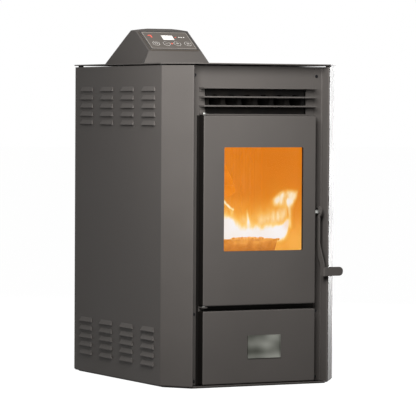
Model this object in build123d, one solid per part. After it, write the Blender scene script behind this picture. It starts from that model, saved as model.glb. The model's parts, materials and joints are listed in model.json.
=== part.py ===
from build123d import *
import math
import os

# Pellet stove, free-standing, millimetres.
# Origin: middle of the base, on the floor. +X is the stove's left-to-right seen from the front,
# +Y points to its back, +Z is up. The door is on the -Y side.

# ---------------------------------------------------------------- cabinet sizes
BODY_W = 544.0            # across the two side panels
BODY_D = 646.0            # pilaster front to rear panel
PLINTH_H = 6.0            # floor to the lower edge of the side panels
PANEL_H = 880.0           # side panel height
SIDE_T = 2.0              # side panel sheet
CHAMFER_X = 62.5          # front chamfer, across
CHAMFER_Y = 78.0          # front chamfer, along the depth
RECESS_D = 36.0           # stile flange behind the pilaster's front edge
FLANGE_W = 25.0           # stile flange beside the recess
REAR_FLANGE_W = 22.0      # side panel's flange along the back
BEND_R = 3.0              # outside radius of the sheet bends
FRAME_T = 2.5             # recessed face sheet
REAR_T = 1.5              # rear panel sheet
TOP_T = 3.0               # top plate
TOP_GAP = 4.0             # shadow gap under the top plate
TOP_OVERHANG = 3.0        # top plate past the panels
FLAT_GAP = 0.3            # clearance between neighbouring fixed sheets
RUN_GAP = 0.05            # radial running clearance of pins and shafts
MOVE_GAP = 1.5            # gap round moving front panels

# base pan
PAN_T = 2.5               # base pan sheet
PAN_INSET = 10.0          # base pan foot inside the panels
PAN_FLANGE_H = 20.0       # upstand inside the side panels

# louvres pressed in the side panels
LOUVRE_COLUMNS = 4
LOUVRE_ROWS = 5
LOUVRE_W = 80.0
LOUVRE_H = 13.0
LOUVRE_PROUD = 5.0
LOUVRE_LIP = 1.5
LOUVRE_TAPER = 5.0
LOUVRE_SHEET = 1.2
LOUVRE_PITCH_Y = 135.0
LOUVRE_PITCH_Z = 23.6
LOUVRE_REAR = 45.0        # rear edge of the panel to the first column
LOUVRE_LOW = 49.0         # panel foot to the lowest louvre of the lower bank
LOUVRE_HIGH = 70.6        # panel top to the uppermost louvre's lip

# door
DOOR_BESIDE = 32.5        # pilaster's inner edge to the door
DOOR_HEAD = 136.5         # panel top to the door's upper edge
DOOR_D = 24.0             # depth of the folded door
DOOR_SET = 8.0            # door face behind the pilaster's front edge
DOOR_T = 2.5
EDGE_R = 4.0              # rounded folded edges of door and drawer
WINDOW_LEFT = 64.0        # door's left edge to the window
WINDOW_RIGHT = 41.0       # window to the door's right edge
WINDOW_FOOT = 150.5       # door's lower edge to the window
WINDOW_HEAD = 88.0        # window to the door's upper edge
WINDOW_R = 3.0
REVEAL_D = 9.0            # folded return round the window, from the door's face
REVEAL_T = 2.0
GLASS_T = 4.0
GLASS_LAP = 10.0          # glass past the window all round
TAPE_T = 2.0              # flat gasket between the reveal and the glass
SEAL_D = 10.0             # rope gasket diameter
SEAL_INSET = 13.5         # door's outline to the rope's centre
SEAL_CORNER_R = 20.0      # rope's centre line at its corners
SEAL_WALL = 2.0
SEAL_MARGIN = 12.0        # rope's centre to the firebox opening
SEAL_PROUD = 1.0          # channel's edge short of the rope's centre
CLIP_POST_R = 5.0
CLIP_POST_OUT = 8.0       # clip's screw outside the glass
CLIP_T = 1.5
CLIP_W = 28.0
CLIP_LAP = 7.0            # clip over the glass
CLIP_OUT = 14.0           # clip past the glass's edge
CLIP_HEAD_T = 2.0

# hinge
HINGE_X = 7.0             # hinge axis inside the door's left edge
HINGE_PIN_R = 4.0
HINGE_HOLE_D = 6.0        # depth of the pin in the door's edge
HINGE_PLATE_T = 3.0
HINGE_PLATE_W = 17.0
HINGE_LEG_H = 14.0
HINGE_SHIFT = 2.0         # bracket's middle beside the pin, towards the door
HINGE_HEAD_T = 2.0
HINGE_WASHER_GAP = 0.1

# latch
LATCH_X = 16.0            # lever's middle plane beside the door's right edge
LATCH_T = 3.0
LATCH_HEIGHT = 256.5      # pivot above the door's lower edge
LATCH_HEAD_R = 15.7
LATCH_JOURNAL_R = 4.0
LATCH_SHOULDER_R = 6.0
LATCH_HEAD_T = 4.0
KEEPER_PIN_R = 2.5
KEEPER_R = 10.0           # keeper pin from the pivot
KEEPER_GAP = 0.35
KEEPER_H = 16.0           # bracket's height
KEEPER_T = 2.0
KEEPER_FRONT = 5.0        # bracket in front of its pin
KEEPER_EAR_GAP = 0.8      # bracket beside the bolt's head
KEEPER_PIN_PAST = 1.5     # pin's end past the lever
LATCH_OPEN = 70.0         # lever angle that frees the keeper
TAB_LENGTH = 60.0
TAB_H = 25.0
TAB_FOOT = 77.5           # tab's lower edge above the door's lower edge
TAB_REACH = 33.5          # tab's front in front of the pivot
TAB_BEND_R = 5.0
SHANK_W = 18.0
SHANK_SET = 6.0           # shank's front edge in front of the pivot
SHANK_R = 5.0
KNEE_RISE = 46.0          # upper knee above the tab

# ash drawer
DRAWER_H = 204.0
FRONT_GAP = 13.0          # drawer front's upper edge to the door
DRAWER_GAP = 1.5          # drawer front above the base pan
BADGE_W = 103.5
BADGE_H = 64.0
BADGE_T = 1.5
BADGE_RIM_W = 2.5
BADGE_RIM_H = 0.8
BADGE_R = 1.5
BADGE_X = 14.0
BADGE_Z = 102.0           # badge centre above the drawer's lower edge
ASH_PAN_BESIDE = 11.5     # pan to the firebox skirts
ASH_PAN_BEHIND = 31.0     # pan to the firebox's rear face
ASH_PAN_R = 8.0
ASH_PAN_H = 96.0
ASH_PAN_T = 1.5
ASH_PAN_FOOT = 14.0       # pan's underside above the floor
RAIL_T = 2.0
RAIL_LAP = 10.0           # rail under the pan's edge
RAIL_H = 20.0
RAIL_FRONT_GAP = 2.0
RAIL_REAR_GAP = 6.0

# warm-air outlet
OUTLET_W = 318.0
OUTLET_H = 69.0
OUTLET_FOOT = 4.0         # opening's lower edge above the door
BLADE_T = 4.5
BLADE_PITCH = 25.0
BLADE_COUNT = 3
BLADE_LUG_W = 15.0
BLADE_LUG_H = 12.0
BLADE_TOP = 77.8          # top of the uppermost blade above the door

# firebox
FIREBOX_T = 4.0
MACHINE_D = 353.0         # firebox's rear face to the stove's back
FIREBOX_HEAD = 111.0      # firebox top above the door opening
TUBE_COUNT = 6
TUBE_GAP = 8.5            # between neighbouring tubes
TUBE_T = 2.0
TUBE_FIT = 0.1            # tube in its hole, welded
TUBE_RISE = 64.0          # tubes' centre above the door opening
TUBE_PROUD = 4.0
BAFFLE_T = 3.0
BAFFLE_GAP = 2.0          # plate to the firebox's walls
BAFFLE_SLOT = 40.0        # way up for the smoke behind the plate
BAFFLE_LIP = 9.0
LEDGE_W = 12.0
LEDGE_T = 2.0
LEDGE_RISE = 12.0         # ledge above the door opening
SLOT_W = 34.0             # ash slots in the firebox floor
SLOT_D = 200.0
LINER_T = 6.0
LINER_RIB = 5.0
LINER_RIBS = 9
LINER_H = 370.0
LINER_FOOT = 95.0         # liner above the firebox floor
LINER_GAP = 2.0           # liner to the side walls
LINER_END = 12.0          # plain strip above and below the ribs

# burn pot
POT_DEPTH_Y = 103.0       # pot centre behind the pilaster's front edge
POT_A = 92.0              # half width at the rim
POT_B = 50.0              # half depth at the rim
POT_TAPER = 22.0          # rim to foot, all round
POT_H = 79.0
POT_T = 4.0
POT_RIM = 5.0
POT_HOLE_R = 2.5
POT_HOLES = 10
POT_SEAT_IN = 6.0         # seat flange inside the rim's outline
POT_FIT = 1.5             # pot's foot in the air box
BOX_H = 80.0              # air box above the firebox floor
BOX_T = 3.0
BOX_MARGIN = 8.0          # air box round the pot

# pipes
INTAKE_R = 25.4
INTAKE_T = 1.5
INTAKE_BESIDE = 56.5      # intake to the left of the pot's middle
INTAKE_END = 4.0          # intake's inner end inside the air box's wall
INTAKE_RISE = 35.0        # intake's centre above the firebox floor
INTAKE_OUT = 45.0         # intake past the rear panel
FLUE_R = 38.1
FLUE_T = 2.0
FLUE_OUT = 55.0           # flue collar past the rear panel
FLUE_FLANGE = 96.0
FLUE_FLANGE_T = 3.0
COVER_W = 9.0             # cover rings over the holes in the rear panel
COVER_T = 2.5
COVER_FIT = 0.5           # ring into the pipe's wall
PIPE_GAP = 2.0            # hole round a pipe in the rear panel

# exhaust side
MANIFOLD_X0 = 10.0
MANIFOLD_W = 50.0
MANIFOLD_T = 2.0
MANIFOLD_TOP = 54.0       # above the firebox floor
MANIFOLD_FOOT = 128.0
MANIFOLD_D = 142.0
MANIFOLD_RIM = 4.0        # exhaust opening above the firebox floor
EXHAUST_Y = 90.0          # exhaust fan shaft behind the firebox
EXHAUST_Z = 180.0
EXHAUST_W = 44.0
EYE_R = 32.0
FAN_R = 60.0
FAN_CLEAR = 6.0           # scroll round the fan at its tongue
SCROLL_GROWTH = 28.0      # scroll's radius gained from tongue to outlet
SCROLL_WALL = 2.0
SCROLL_TONGUE = 135.0
FAN_SHAFT_R = 4.0
FAN_BACK_T = 2.0
FAN_SIDE_GAP = 5.0
FAN_BLADES = 10
FAN_BLADE_T = 2.0
FAN_SHAFT_L = 40.0        # shaft behind the wheel's back disc
FAN_RING_W = 12.0
VANE_W = 10.0
VANE_IN = 7.0             # vane's middle inside the wheel's edge
VANE_ANGLE = 35.0
MOTOR_R = 40.0
MOTOR_L = 62.0
MOTOR_BORE_L = 36.0
MOTOR_CHAMFER = 4.0
EXHAUST_NECK = 92.0

# room-air side
BLOWER_W = 76.0
BLOWER_Y = 100.0          # blower shaft behind the firebox
BLOWER_Z = 125.0
BLOWER_NECK = 121.0
BLOWER_BLADES = 24
BLOWER_FOOT_D = 60.0
BLOWER_FOOT_T = 3.0
DUCT_T = 1.5
DUCT_D = 64.0
DUCT_HEAD = 90.0          # height of the duct behind the tubes

# hopper
HOPPER_LEFT = 35.0        # console to the hopper
HOPPER_RIGHT = 20.0       # hopper to the side panel's outside
HOPPER_D = 262.0
HOPPER_REAR = 21.0        # hopper's rear wall in front of the body's back
HOPPER_T = 1.5
HOPPER_STRAIGHT = 95.0    # straight walls below the top plate
HOPPER_FLANGE = 14.0
HOPPER_LEDGE_W = 10.0
HOPPER_LEDGE_DROP = 14.0
HOPPER_LIP_T = 2.0
LID_GAP = 2.5
LID_REAR_GAP = 4.5
LID_SKIRT = 11.0
LID_T = 2.0
LID_PIN_DROP = 7.0        # hinge axis under the lid's top
LID_PIN_IN = 7.0          # hinge axis in front of the lid's rear edge
LID_PIN_R = 2.5
LID_PULL_W = 90.0         # finger pocket under the skin at the lid's front
LID_PULL_D = 27.0
LID_PULL_H = 11.0
LID_PULL_LIP = 9.0

# auger
AUGER_ANGLE = 50.0        # auger above the horizontal
AUGER_BEHIND = 45.0       # auger's upper end behind the firebox
AUGER_UNDER = 55.0        # auger's upper end under the air header
AUGER_FOOT_GAP = 88.0     # auger's lower end to the stove's back
AUGER_END_GAP = 6.0       # shaft's upper end to the tube's cap
AUGER_FLIGHT_GAP = 4.0    # flight's end to the bushing
AUGER_R = 27.0            # tube bore radius
AUGER_TUBE_T = 2.0
FLIGHT_R = 24.5
FLIGHT_T = 3.0
FLIGHT_PITCH = 45.0
AUGER_SHAFT_R = 8.0
BUSH_T = 12.0
SPOUT_DROP = 90.0         # spout's rim below the auger's upper end
SPOUT_W = 54.0
SPOUT_BACK = 150.0        # spout behind the auger's upper end
SPOUT_D = 60.0
SPOUT_FLANGE = 8.0
SPOUT_FLANGE_T = 2.0
GEARBOX_W = 62.0
GEARBOX_L = 48.0
GEARBOX_R = 6.0
GEARMOTOR_R = 25.0
GEARMOTOR_L = 40.0
GEARMOTOR_CHAMFER = 3.0
SHAFT_IN_GEARBOX = 30.0
CHUTE_R = 26.0
CHUTE_T = 2.0
CHUTE_GAP = 1.0           # chute in the liner's hole
CHUTE_LENGTH = 185.0
CHUTE_BACK = 8.0          # chute's start behind the auger's end, along the auger

# console
CONSOLE_LEFT = 40.0       # side panel's outside to the console
CONSOLE_W = 167.0
CONSOLE_FRONT = 228.7     # console's front foot behind the pilaster's front edge
CONSOLE_D = 300.0
CONSOLE_H = 102.0
CONSOLE_CREST = 114.0     # crest behind the front foot
CONSOLE_SHOULDER_Y = 164.0
CONSOLE_SHOULDER_Z = 75.5
CONSOLE_T = 2.5
CONSOLE_CROWN = 7.0
CREST_R = 8.0             # rounding along the crest
SHOULDER_R = 60.0
SKIRT_H = 35.2            # steeper foot under the keypad
SKIRT_RUN = 13.0
FLARE_W = 20.0            # front corners flared past the ends
FLARE_D = 60.0            # flare's length along the ends
CABLE_INSET = 30.0        # cable hole in the top plate inside the console's ends
CABLE_D = 120.0
PAD_W = 152.0
PAD_H = 97.0
PAD_T = 4.0
PAD_DROP = 22.0           # keypad below the crest, along the slope
PAD_SEAT = 5.0            # keypad over the edge of the console's opening
PAD_EDGE = 0.8
PAD_R = 2.0
KEY_FLATS = 18.0
KEY_GAP = 0.35
KEY_PROUD = 1.0
KEY_FLANGE = 2.0
KEY_FLANGE_T = 1.0
KEY_TRAVEL = 0.8
KEY_PITCH = 33.2
KEY_COUNT = 4
KEY_X = 3.0
KEY_Y = -16.5
KEY_EDGE = 0.4
KEY_STEM_R = 2.0
KEY_STEM_L = 3.0
DISPLAY_W = 35.0
DISPLAY_H = 23.0
DISPLAY_X = 2.0
DISPLAY_Y = 15.0
DISPLAY_T = 2.6
DISPLAY_GAP = 0.1
DISPLAY_SINK = 0.2        # pane below the plate's face
DISPLAY_LEDGE = 2.0       # ledge that the pane sits on
BOARD_W = 140.0
BOARD_H = 76.0
BOARD_T = 1.6
BOARD_DEPTH = 9.0         # board's face under the keypad plate
SWITCH_SIDE = 6.0
STANDOFF_R = 3.0
STANDOFF_IN = 6.0
SWITCH_GAP = 0.2          # switch to the pressed stem
RELAY_W = 30.0
RELAY_D = 20.0
RELAY_H = 16.0
CAPACITOR_R = 9.0
CAPACITOR_H = 12.0
CAPACITOR_Y = 4.0
LENS_MARGIN = 3.0         # display module inside its window
LENS_GAP = 2.0            # display module under the plate

# small parts
SCREW_R = 2.0
SCREW_HEAD_R = 4.5
SCREW_HEAD_T = 2.4
SCREW_HOLE_GAP = 0.2
SCREW_X = 6.5             # screw centre inside the stile flange's edge
SCREW_PAST = 2.0          # screw's end past the sheet
SCREW_LOW = 11.5          # lowest front screw above the panel's foot
SCREW_MID = 22.0          # middle front screw below the door
SCREW_HIGH = 26.0         # upper screws below the panel's top
REAR_SCREW_LOW = 38.0     # lowest rear screw above the panel's foot
REAR_SCREWS = 5           # screws up each rear flange
SPACER_R = 7.5
FRAME_H = 20.0
FRAME_LEG = 16.0
FRAME_SHEET = 2.0
INLET_BESIDE = 82.0       # inlet's middle inside the left side panel
INLET_Z = 70.0
INLET_W = 48.0
INLET_H = 28.0
INLET_D = 30.0
INLET_FLANGE = 5.0
INLET_FLANGE_T = 2.5
INLET_R = 3.0
INLET_WELL_W = 36.0
INLET_WELL_H = 20.0
INLET_FLOOR = 8.0
INLET_PIN_T = 2.0
INLET_PIN_H = 6.0
INLET_PIN_PITCH = 7.0
INLET_PIN_SHORT = 6.0     # pins' ends inside the panel's face
VENT_COLUMNS = 3          # room-air slots in the rear panel
VENT_ROWS = 6
VENT_W = 34.0
VENT_H = 4.0
VENT_PITCH_X = 42.0
VENT_PITCH_Z = 12.0
VENT_SIDE = 20.0          # first column's middle inside the blower's end
VENT_FOOT = 114.0         # lowest slot above the side panels' foot
VACUUM_R = 28.0
VACUUM_T = 20.0
VACUUM_R_EDGE = 3.0
VACUUM_BESIDE = 112.0     # switch's middle inside the right side panel
VACUUM_Z = 340.0
BARB_R = 2.3
BARB_L = 10.0
IGNITER_R = 5.0
IGNITER_L = 150.0
IGNITER_X = 45.0
IGNITER_RISE = 12.0       # igniter above the exhaust manifold
IGNITER_TAIL = 22.0       # holder behind the firebox
IGNITER_FLANGE_R = 11.0
IGNITER_FLANGE_T = 3.0
IGNITER_HEAD_R = 7.5

# ---------------------------------------------------------------- derived places
X_SIDE = BODY_W / 2
Y_FRONT = -BODY_D / 2
Y_REAR = BODY_D / 2
Y_CREASE = Y_FRONT + CHAMFER_Y
X_PILASTER = X_SIDE - CHAMFER_X
Y_FLANGE = Y_FRONT + RECESS_D
Y_FACE = Y_FLANGE + SIDE_T
Y_FACE_BACK = Y_FACE + FRAME_T
Y_REAR_IN = Y_REAR - SIDE_T - REAR_T
Z_PANEL = PLINTH_H
Z_PANEL_TOP = PLINTH_H + PANEL_H
Z_TOP = Z_PANEL_TOP + TOP_GAP
Z_DRAWER = PLINTH_H + DRAWER_GAP
Z_DOOR = Z_DRAWER + DRAWER_H + FRONT_GAP
Z_DOOR_TOP = Z_PANEL_TOP - DOOR_HEAD
DOOR_H = Z_DOOR_TOP - Z_DOOR
Y_DOOR = Y_FRONT + DOOR_SET
Y_DOOR_BACK = Y_DOOR + DOOR_D
Y_PIVOT = Y_DOOR + DOOR_D / 2
X_DOOR = X_PILASTER - DOOR_BESIDE
DOOR_W = 2 * X_DOOR
X_OPENING = X_DOOR - SEAL_INSET - SEAL_MARGIN
Z_OPENING = Z_DOOR + SEAL_INSET + SEAL_MARGIN
Z_OPENING_TOP = Z_DOOR_TOP - SEAL_INSET - SEAL_MARGIN
Y_FIREBOX_REAR = Y_REAR - MACHINE_D
X_FIREBOX = X_OPENING + FIREBOX_T
Z_FIREBOX_TOP = Z_OPENING_TOP + FIREBOX_HEAD
Z_TUBES = Z_OPENING_TOP + TUBE_RISE
TUBE_PITCH = 2 * X_OPENING / TUBE_COUNT
TUBE_R = (TUBE_PITCH - TUBE_GAP) / 2
Z_LEDGE = Z_OPENING_TOP + LEDGE_RISE
Y_POT = Y_FRONT + POT_DEPTH_Y
Z_POT_SEAT = Z_OPENING + BOX_H
Z_POT_RIM = Z_POT_SEAT + POT_H - POT_T
Z_INTAKE = Z_OPENING + INTAKE_RISE
Z_IGNITER = Z_OPENING + MANIFOLD_TOP + IGNITER_RISE
X_WINDOW0 = WINDOW_LEFT - X_DOOR
X_WINDOW1 = X_DOOR - WINDOW_RIGHT
Z_WINDOW0 = Z_DOOR + WINDOW_FOOT
Z_WINDOW1 = Z_DOOR_TOP - WINDOW_HEAD
POT_X = (X_WINDOW0 + X_WINDOW1) / 2
INTAKE_X = POT_X - INTAKE_BESIDE
Y_GLASS = Y_DOOR + REVEAL_D + TAPE_T
Y_ROPE = Y_FACE - FLAT_GAP - SEAL_D / 2
X_LATCH = X_DOOR + LATCH_X
Z_LATCH = Z_DOOR + LATCH_HEIGHT
Z_TAB = Z_DOOR + TAB_FOOT
Y_HOPPER1 = Y_REAR - HOPPER_REAR
Y_HOPPER0 = Y_HOPPER1 - HOPPER_D
Y_CONSOLE = Y_FRONT + CONSOLE_FRONT
CONSOLE_X0 = CONSOLE_LEFT - X_SIDE
X_CONSOLE1 = CONSOLE_X0 + CONSOLE_W
HOPPER_X0 = X_CONSOLE1 + HOPPER_LEFT
X_HOPPER1 = X_SIDE - HOPPER_RIGHT
Z_CONSOLE = Z_TOP + TOP_T
Y_EXHAUST = Y_FIREBOX_REAR + EXHAUST_Y
X_EXHAUST0 = MANIFOLD_X0 + MANIFOLD_W
X_EXHAUST1 = X_EXHAUST0 + EXHAUST_W
Y_BLOWER = Y_FIREBOX_REAR + BLOWER_Y
BLOWER_X0 = DUCT_T - X_FIREBOX
X_BLOWER1 = BLOWER_X0 + BLOWER_W
SCROLL_R0 = FAN_R + FAN_CLEAR
SCROLL_R1 = SCROLL_R0 + SCROLL_GROWTH
NECK_W = SCROLL_R1 + SCROLL_R0 * math.cos(math.radians(SCROLL_TONGUE))
X_FLUE = (X_EXHAUST0 + X_EXHAUST1) / 2
Z_FLUE = EXHAUST_Z - SCROLL_R1 + NECK_W / 2
AUGER_TOP_Y = Y_FIREBOX_REAR + AUGER_BEHIND
AUGER_TOP_Z = Z_FIREBOX_TOP - DUCT_HEAD - AUGER_UNDER
AUGER_LENGTH = (Y_REAR - AUGER_FOOT_GAP - AUGER_TOP_Y) / math.cos(math.radians(AUGER_ANGLE))
SPOUT_Y0 = AUGER_TOP_Y + SPOUT_BACK
SPOUT_TOP_Z = AUGER_TOP_Z - SPOUT_DROP
ASH_PAN_X = X_OPENING - ASH_PAN_BESIDE
INLET_X = INLET_BESIDE - X_SIDE
VACUUM_X = X_SIDE - VACUUM_BESIDE


# ---------------------------------------------------------------- helpers
def block(x0, x1, y0, y1, z0, z1):
    size = Box(x1 - x0, y1 - y0, z1 - z0)
    return Pos((x0 + x1) / 2, (y0 + y1) / 2, (z0 + z1) / 2) * size


def prism_x(outline, x0, x1):
    """A closed outline of (y, z) points carried from x0 to x1."""
    face = make_face(Polyline(*outline, close=True))
    return extrude(Plane.YZ.offset(x0) * face, amount=x1 - x0)


def prism_y(outline, y0, y1):
    """A closed outline of (x, z) points carried from y0 to y1."""
    back = Plane(origin=(0, y1, 0), x_dir=(1, 0, 0), z_dir=(0, -1, 0))
    face = make_face(Polyline(*outline, close=True))
    return extrude(back * face, amount=y1 - y0)


def rod(start, end, radius):
    """A round bar between two points."""
    a = Vector(*start)
    b = Vector(*end)
    along = Plane(origin=a, z_dir=b - a)
    length = (b - a).length
    return along * Pos(0, 0, length / 2) * Cylinder(radius, length)


def pipe(start, end, radius, wall):
    a = Vector(*start)
    b = Vector(*end)
    step = (b - a).normalized()
    return rod(start, end, radius) - rod(a - step, b + step, radius - wall)


def gathered(shapes):
    """Separate solids kept side by side in one piece."""
    return Compound(children=[solid for shape in shapes for solid in shape.solids()])


def nose_corner():
    """Where chamfer and return would meet if the pilaster's nose, at Y_FRONT, weren't rounded."""
    y = Y_FRONT
    for _ in range(6):
        half = math.atan2(CHAMFER_X, Y_CREASE - y) / 2
        y = Y_FRONT - BEND_R * (1 / math.tan(half) - 1)
    return y


def plan_outline(inset, corner_r):
    """The stove's plan: a rectangle with its two front corners cut off."""
    y_nose = nose_corner()
    x_front = X_PILASTER + CHAMFER_X * (Y_FRONT - y_nose) / (Y_CREASE - y_nose)
    corners = [
        (-X_SIDE, Y_REAR),
        (-X_SIDE, Y_CREASE),
        (-x_front, Y_FRONT),
        (x_front, Y_FRONT),
        (X_SIDE, Y_CREASE),
        (X_SIDE, Y_REAR),
    ]
    face = make_face(Polyline(*corners, close=True))
    if inset:
        face = offset(face, amount=-inset, kind=Kind.INTERSECTION)
    return fillet(face.vertices(), corner_r)


def plan_plate(inset, z0, z1, corner_r=BEND_R):
    return extrude(Pos(0, 0, z0) * plan_outline(inset, corner_r), amount=z1 - z0)


def rounded_ring(x0, x1, z0, z1, radius, y):
    """Closed rounded rectangle as a path in the plane at y."""
    plane = Plane(origin=((x0 + x1) / 2, y, (z0 + z1) / 2), x_dir=(1, 0, 0), z_dir=(0, -1, 0))
    return plane * RectangleRounded(x1 - x0, z1 - z0, radius)


def framed(x0, x1, z0, z1, radius, width, y0, y1):
    """Rounded rectangular frame of a given width, inside the given outline."""
    outer = extrude(rounded_ring(x0, x1, z0, z1, radius, y1), amount=y1 - y0)
    inner_r = max(radius - width, 0.5)
    hole = rounded_ring(x0 + width, x1 - width, z0 + width, z1 - width, inner_r, y1 + 1)
    return outer - extrude(hole, amount=y1 - y0 + 2)


def scroll_face(inset, neck):
    """Fan scroll about its shaft at 0,0: the radius grows clockwise to an outlet up on the left."""
    sweep = 180.0 + SCROLL_TONGUE
    steps = 8
    rim = []
    for i in range(steps + 1):
        share = i / steps
        angle = math.radians(SCROLL_TONGUE - sweep * share)
        radius = SCROLL_R0 + SCROLL_GROWTH * share - inset
        rim.append((radius * math.cos(angle), radius * math.sin(angle)))
    tongue = SCROLL_R0 * math.cos(math.radians(SCROLL_TONGUE)) - inset
    walls = [rim[-1], (inset - SCROLL_R1, neck), (tongue, neck)]
    if inset:
        walls.append((tongue, rim[0][1]))
    walls.append(rim[0])
    return make_face(Spline(*rim) + Polyline(*walls))


def scroll_housing(place, width, neck):
    """Sheet scroll between z=0 and the width, open at its outlet."""
    t = SCROLL_WALL
    body = extrude(place * scroll_face(0, neck), amount=width)
    hollow = extrude(place * Pos(0, 0, t) * scroll_face(t, neck + t), amount=width - 2 * t)
    return body - hollow


# ---------------------------------------------------------------- cabinet
def louvre_body():
    """Pressed hood on a wall facing -X: lip down, ends drawn in towards the top."""
    side = [
        (SIDE_T, 0),
        (-LOUVRE_PROUD, 0),
        (-LOUVRE_PROUD, LOUVRE_LIP),
        (0, LOUVRE_H),
        (SIDE_T, LOUVRE_H),
    ]
    front = [(0, 0), (LOUVRE_W, 0), (LOUVRE_W - LOUVRE_TAPER, LOUVRE_H), (LOUVRE_TAPER, LOUVRE_H)]
    return prism_y(side, 0, LOUVRE_W) & prism_x(front, -LOUVRE_PROUD - 1, SIDE_T)


def louvre_hollow():
    """Air space under a hood and through the sheet behind it."""
    wall = LOUVRE_SHEET
    side = [
        (SIDE_T + 1, 0),
        (0, 0),
        (0, -1),
        (wall - LOUVRE_PROUD, -1),
        (wall - LOUVRE_PROUD, LOUVRE_LIP),
        (0, LOUVRE_H - 2 * wall),
        (SIDE_T + 1, LOUVRE_H - 2 * wall),
    ]
    front = [
        (wall, -1),
        (LOUVRE_W - wall, -1),
        (LOUVRE_W - LOUVRE_TAPER - wall, LOUVRE_H),
        (LOUVRE_TAPER + wall, LOUVRE_H),
    ]
    return prism_y(side, 0, LOUVRE_W) & prism_x(front, -LOUVRE_PROUD, SIDE_T + 1)


def louvre_places():
    places = []
    for column in range(LOUVRE_COLUMNS):
        y = Y_REAR - LOUVRE_REAR - LOUVRE_W - column * LOUVRE_PITCH_Y
        for row in range(LOUVRE_ROWS):
            low = Z_PANEL + LOUVRE_LOW + row * LOUVRE_PITCH_Z
            high = Z_PANEL_TOP - LOUVRE_HIGH - row * LOUVRE_PITCH_Z
            places.append(Pos(-X_SIDE, y, low))
            places.append(Pos(-X_SIDE, y, high))
    return places


def screw_heights():
    """Screws through the stile flanges, above the base, above the drawer and at the top."""
    return [Z_PANEL + SCREW_LOW, Z_DOOR - SCREW_MID, Z_PANEL_TOP - SCREW_HIGH]


def rear_screw_heights():
    low = Z_PANEL + REAR_SCREW_LOW
    step = (Z_PANEL_TOP - SCREW_HIGH - low) / (REAR_SCREWS - 1)
    return [low + i * step for i in range(REAR_SCREWS)]


def rear_screw_x():
    return X_SIDE - REAR_FLANGE_W / 2 - BEND_R / 2


def left_side_panel():
    outline = FilletPolyline(
        (-X_SIDE + REAR_FLANGE_W, Y_REAR),
        (-X_SIDE, Y_REAR),
        (-X_SIDE, Y_CREASE),
        (-X_PILASTER, nose_corner()),
        (-X_PILASTER, Y_FLANGE),
        (-X_PILASTER + FLANGE_W, Y_FLANGE),
        radius=BEND_R,
    )
    section = make_face(offset(outline, amount=SIDE_T, side=Side.LEFT))
    sheet = extrude(Pos(0, 0, Z_PANEL) * section, amount=PANEL_H)
    hood = louvre_body()
    hollow = louvre_hollow()
    sheet = sheet + [place * hood for place in louvre_places()]
    sheet = sheet - [place * hollow for place in louvre_places()]
    x = -X_PILASTER + FLANGE_W - SCREW_X
    hole_r = SCREW_R + SCREW_HOLE_GAP
    holes = [rod((x, Y_FLANGE - 1, z), (x, Y_FACE + 1, z), hole_r) for z in screw_heights()]
    x = -rear_screw_x()
    holes += [rod((x, Y_REAR_IN, z), (x, Y_REAR + 1, z), hole_r) for z in rear_screw_heights()]
    return sheet - holes


def pan_screw(x, z, y_seat, y_end):
    """Pan-head screw along Y: its head's underside at y_seat, its tip at y_end."""
    way = 1 if y_end > y_seat else -1
    y_top = y_seat - way * SCREW_HEAD_T
    head = rod((x, y_top, z), (x, y_seat, z), SCREW_HEAD_R)
    head = fillet(head.edges().group_by(Axis.Y)[0 if way > 0 else -1], SCREW_HEAD_T * 0.6)
    return head + rod((x, y_seat, z), (x, y_end, z), SCREW_R)


def panel_screws():
    screws = []
    for side in (-1, 1):
        x = side * (X_PILASTER - FLANGE_W + SCREW_X)
        for z in screw_heights():
            screws.append(pan_screw(x, z, Y_FLANGE, Y_FACE_BACK + SCREW_PAST))
        x = side * rear_screw_x()
        for z in rear_screw_heights():
            screws.append(pan_screw(x, z, Y_REAR, Y_REAR_IN - SCREW_PAST))
    return gathered(screws)


def base_pan():
    """Folded tray: flat foot on the floor, a step out under the panels, upstand inside them."""
    seat = SIDE_T
    tray = plan_plate(PAN_INSET, 0, PLINTH_H)
    tray = tray + plan_plate(seat, PLINTH_H - PAN_T, PLINTH_H + PAN_FLANGE_H)
    tray = tray - plan_plate(PAN_INSET + PAN_T, PAN_T, PLINTH_H + PAN_FLANGE_H + 1)
    tray = tray - plan_plate(seat + PAN_T, PLINTH_H, PLINTH_H + PAN_FLANGE_H + 1, BEND_R / 2)
    front = block(-X_SIDE, X_SIDE, Y_FRONT - 1, Y_FACE_BACK + 1, PLINTH_H, Z_PANEL_TOP)
    return tray - front


def face_frame():
    x = X_PILASTER - FRAME_T
    sheet = block(-x, x, Y_FACE, Y_FACE_BACK, PLINTH_H, Z_PANEL_TOP)
    lo = Y_FACE - 1
    hi = Y_FACE_BACK + 1
    outlet_z = Z_DOOR_TOP + OUTLET_FOOT
    sheet = sheet - block(-OUTLET_W / 2, OUTLET_W / 2, lo, hi, outlet_z, outlet_z + OUTLET_H)
    fire = rounded_ring(-X_OPENING, X_OPENING, Z_OPENING, Z_OPENING_TOP, SEAL_CORNER_R / 2, hi)
    sheet = sheet - extrude(fire, amount=hi - lo)
    drawer_top = Z_DRAWER + DRAWER_H - MOVE_GAP * 4
    sheet = sheet - block(-X_OPENING, X_OPENING, lo, hi, PLINTH_H + PAN_T, drawer_top)
    hole_r = SCREW_R + SCREW_HOLE_GAP
    for side in (-1, 1):
        for z in screw_heights():
            x = side * (X_PILASTER - FLANGE_W + SCREW_X)
            sheet = sheet - rod((x, lo, z), (x, hi, z), hole_r)
    return sheet


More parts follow.
